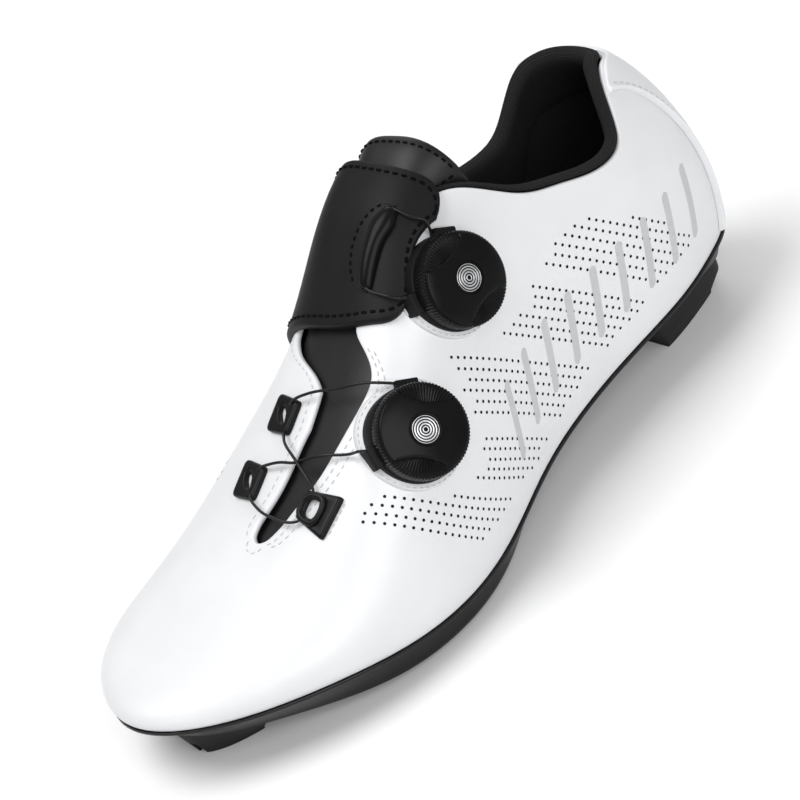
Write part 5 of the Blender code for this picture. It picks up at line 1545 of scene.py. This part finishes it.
def build_treads():
    count = 120
    line = np.linspace(-1, 1, count)
    share = np.abs(line)
    top, low = line * float(station(HEEL_TREAD_END)), line * float(station(HEEL_TREAD_END * 0.86))
    wide = BALL_WIDTH
    top_inset, low_inset = (0.045 + 0.070 * share**0.7) * wide, (0.105 + 0.065 * share**0.7) * wide
    middle = (0.045 + 0.080 * share**0.7) * wide
    rings = [
        lift(inset_edge(low, low_inset + 0.001), 0.0), lift(inset_edge(low, low_inset + 0.0003), 0.0003),
        lift(inset_edge(low, low_inset), 0.0012),
        lift(inset_edge(top * 0.96, middle), lambda x: platform_height(x) * 0.55),
        lift(inset_edge(top, top_inset + 0.0002), lambda x: platform_height(x) - GAP - 0.0006),
        lift(inset_edge(top, top_inset), lambda x: platform_height(x) - GAP - 0.0003),
        lift(inset_edge(top, top_inset), lambda x: platform_height(x) - 0.0001),
    ]
    heel = ring_piece("heel_block", rings, RUBBER, crease=38)
    plan = slot_plan(0.085 * LENGTH, 0, 0.055 * LENGTH, 0.115 * BALL_WIDTH, 10)
    cut(heel, [cutter(plan, HEEL_SEAT * 0.16, RUBBER)], 38)
    settle(heel, "tread_rubber", "heel_tread")
    top = math.pi + line * (math.pi - float(station(TOE_TREAD_START)))
    low = math.pi + line * (math.pi - float(station(TOE_TREAD_START + 0.010)))
    low_inset = (0.168 + 0.050 * line**2) * wide
    rings = [
        lift(inset_edge(low, low_inset + 0.010 * wide), 0.0),
        lift(inset_edge(low, low_inset + 0.002 * wide), 0.0003),
        lift(inset_edge(low, low_inset), 0.0010),
        lift(inset_edge(top, 0.115 * wide), lambda x: platform_height(x) - 0.0001),
    ]
    toe = ring_piece("toe_bumper", rings, RUBBER, crease=38)
    tools = []
    for across in (-0.185, -0.035):
        x, y, half = np.array([0.89, 0.985]) * LENGTH, across * BALL_WIDTH, 0.017 * BALL_WIDTH
        plan = np.array([(x[0], y - half), (x[1], y - half), (x[1], y + half), (x[0], y + half)])
        tools.append(cutter(plan, lambda x: platform_height(x) * 0.42, RUBBER))
    cut(toe, tools, 38)
    settle(toe, "tread_rubber", "toe_tread")


def build_nuts():
    number = 0
    for side in (-1, 1):
        for end in (-1, 1):
            number += 1
            x, y = CLEAT_ALONG * LENGTH + end * NUT_PITCH / 2, side * CLEAT_ACROSS / 2
            top = float(platform_height(x)) + CLEAT_SLOT_DEPTH - GAP * 2
            levels = [(NUT_HOLE, top), (NUT_RADIUS, top), (NUT_RADIUS, top - NUT_HEIGHT + 0.0003),
                      (NUT_RADIUS - 0.0003, top - NUT_HEIGHT), (NUT_HOLE + 0.0003, top - NUT_HEIGHT)]
            for turn in range(6):
                z = top - NUT_HEIGHT + 0.0003 + turn * 0.00026
                levels += [(NUT_HOLE, z), (NUT_HOLE + 0.00014, z + 0.00013)]
            rings = [lift(round_plan(x, y, radius, 40), z) for radius, z in levels]
            points = np.concatenate(rings)
            faces = grid_faces(len(levels), 40, close_rows=True, close_columns=True)
            piece = make_piece(f"cleat_ring_{number}", points, faces, STEEL, crease=35)
            settle(piece, "nut_steel", f"cleat_nut_{number}")


def build_insole():
    loop = full_loop(120)
    inset = UPPER_WALL + GAP + 0.0006
    soft = INSOLE_THICK * 0.4
    rings = [lift(inset_edge(loop, inset), seat_height)]
    for turn in np.linspace(0, math.pi / 2, 6):
        rings.append(lift(inset_edge(loop, inset + soft * (1 - math.cos(turn))),
                          lambda x, t=turn: seat_height(x) + INSOLE_THICK - soft * (1 - math.sin(t))))
    insole = ring_piece("footbed", rings, LINING)
    layer = insole.data.uv_layers.new(name="surface")
    for loop_item in insole.data.loops:
        place = insole.data.vertices[loop_item.vertex_index].co
        layer.data[loop_item.index].uv = (place.x * 1000, place.y * 1000)
    settle(insole, "black_mesh", "insole")


# Floor, light and camera

def build_stage():
    bpy.ops.mesh.primitive_plane_add(size=8, location=(0, 0, 0))
    floor = bpy.context.object
    floor.name = "floor"
    made, nodes, links, shader = shader_material("pale_floor", (0.86, 0.86, 0.86), 0.7)
    noise = add_node(nodes, "ShaderNodeTexNoise", Scale=6.0, Detail=3.0)
    links.new(object_point(nodes), noise.inputs["Vector"])
    tint(nodes, links, noise.outputs["Fac"], (0.855, 0.855, 0.86), (0.865, 0.865, 0.865), shader)
    shader.inputs["Emission Color"].default_value = (1.0, 1.0, 1.0, 1.0)
    shader.inputs["Emission Strength"].default_value = 0.05
    floor.data.materials.append(made)
    world = bpy.data.worlds.new("studio")
    world.use_nodes = True
    world.node_tree.nodes["Background"].inputs["Color"].default_value = (1.0, 1.0, 1.0, 1.0)
    world.node_tree.nodes["Background"].inputs["Strength"].default_value = 0.40
    bpy.context.scene.world = world
    bpy.context.scene.view_settings.view_transform = "Standard"


LIGHT_AIM = (0, 0, 0.05)
# Lights: name, spot, size, power
LIGHTS = (
    ("key", (0.50, -0.25, 1.40), 1.0, 14.6),
    ("fill", (0.35, 1.5, 0.95), 1.3, 16.5),
    ("back", (-0.9, -0.9, 1.1), 1.0, 5.0),
)


def add_light(name, spot, size, power):
    data = bpy.data.lights.new(name, "AREA")
    data.shape = "DISK"
    data.size = size
    data.energy = power
    lamp = bpy.data.objects.new(name, data)
    lamp.location = spot
    lamp.rotation_euler = (Vector(LIGHT_AIM) - Vector(spot)).to_track_quat("-Z", "Y").to_euler()
    bpy.context.scene.collection.objects.link(lamp)


CAMERA_AZIMUTH = 149.64
CAMERA_ELEVATION = 32.04
CAMERA_ROLL = -26.30
CAMERA_DISTANCE = 1.912
CAMERA_LENS = 265.0
CAMERA_AIM = Vector((0.138, 0.0, 0.050)) + Vector(SHIFT)


def build_camera():
    azimuth, elevation = math.radians(CAMERA_AZIMUTH), math.radians(CAMERA_ELEVATION)
    flat = math.cos(elevation)
    back = Vector((math.sin(azimuth) * flat, -math.cos(azimuth) * flat, math.sin(elevation)))
    right = (-back).cross(Vector((0, 0, 1))).normalized()
    up = right.cross(-back)
    level = Matrix((right, up, back)).transposed().to_4x4()
    data = bpy.data.cameras.new("camera")
    data.lens = CAMERA_LENS
    data.sensor_width = 36.0
    data.clip_end = 20.0
    camera = bpy.data.objects.new("camera", data)
    camera.matrix_world = (Matrix.Translation(CAMERA_AIM + back * CAMERA_DISTANCE) @ level
                           @ Matrix.Rotation(math.radians(CAMERA_ROLL), 4, "Z"))
    bpy.context.scene.collection.objects.link(camera)
    bpy.context.scene.camera = camera


def main():
    build_stage()
    build_camera()
    for light in LIGHTS:
        add_light(*light)
    build_outsole()
    build_treads()
    build_nuts()
    build_insole()
    build_upper()
    build_foot_lining()
    build_counter()
    build_lining()
    build_tongue()
    build_strap()
    build_strap_guide()
    build_throat_stitches()
    build_pinholes()
    build_motif()
    for (name, along, share), knob_turn in zip(DIALS, KNOB_TURNS):
        build_dial(name, seat_frame(along, 1, share), knob_turn)
    build_guides()
    build_cords()


main()
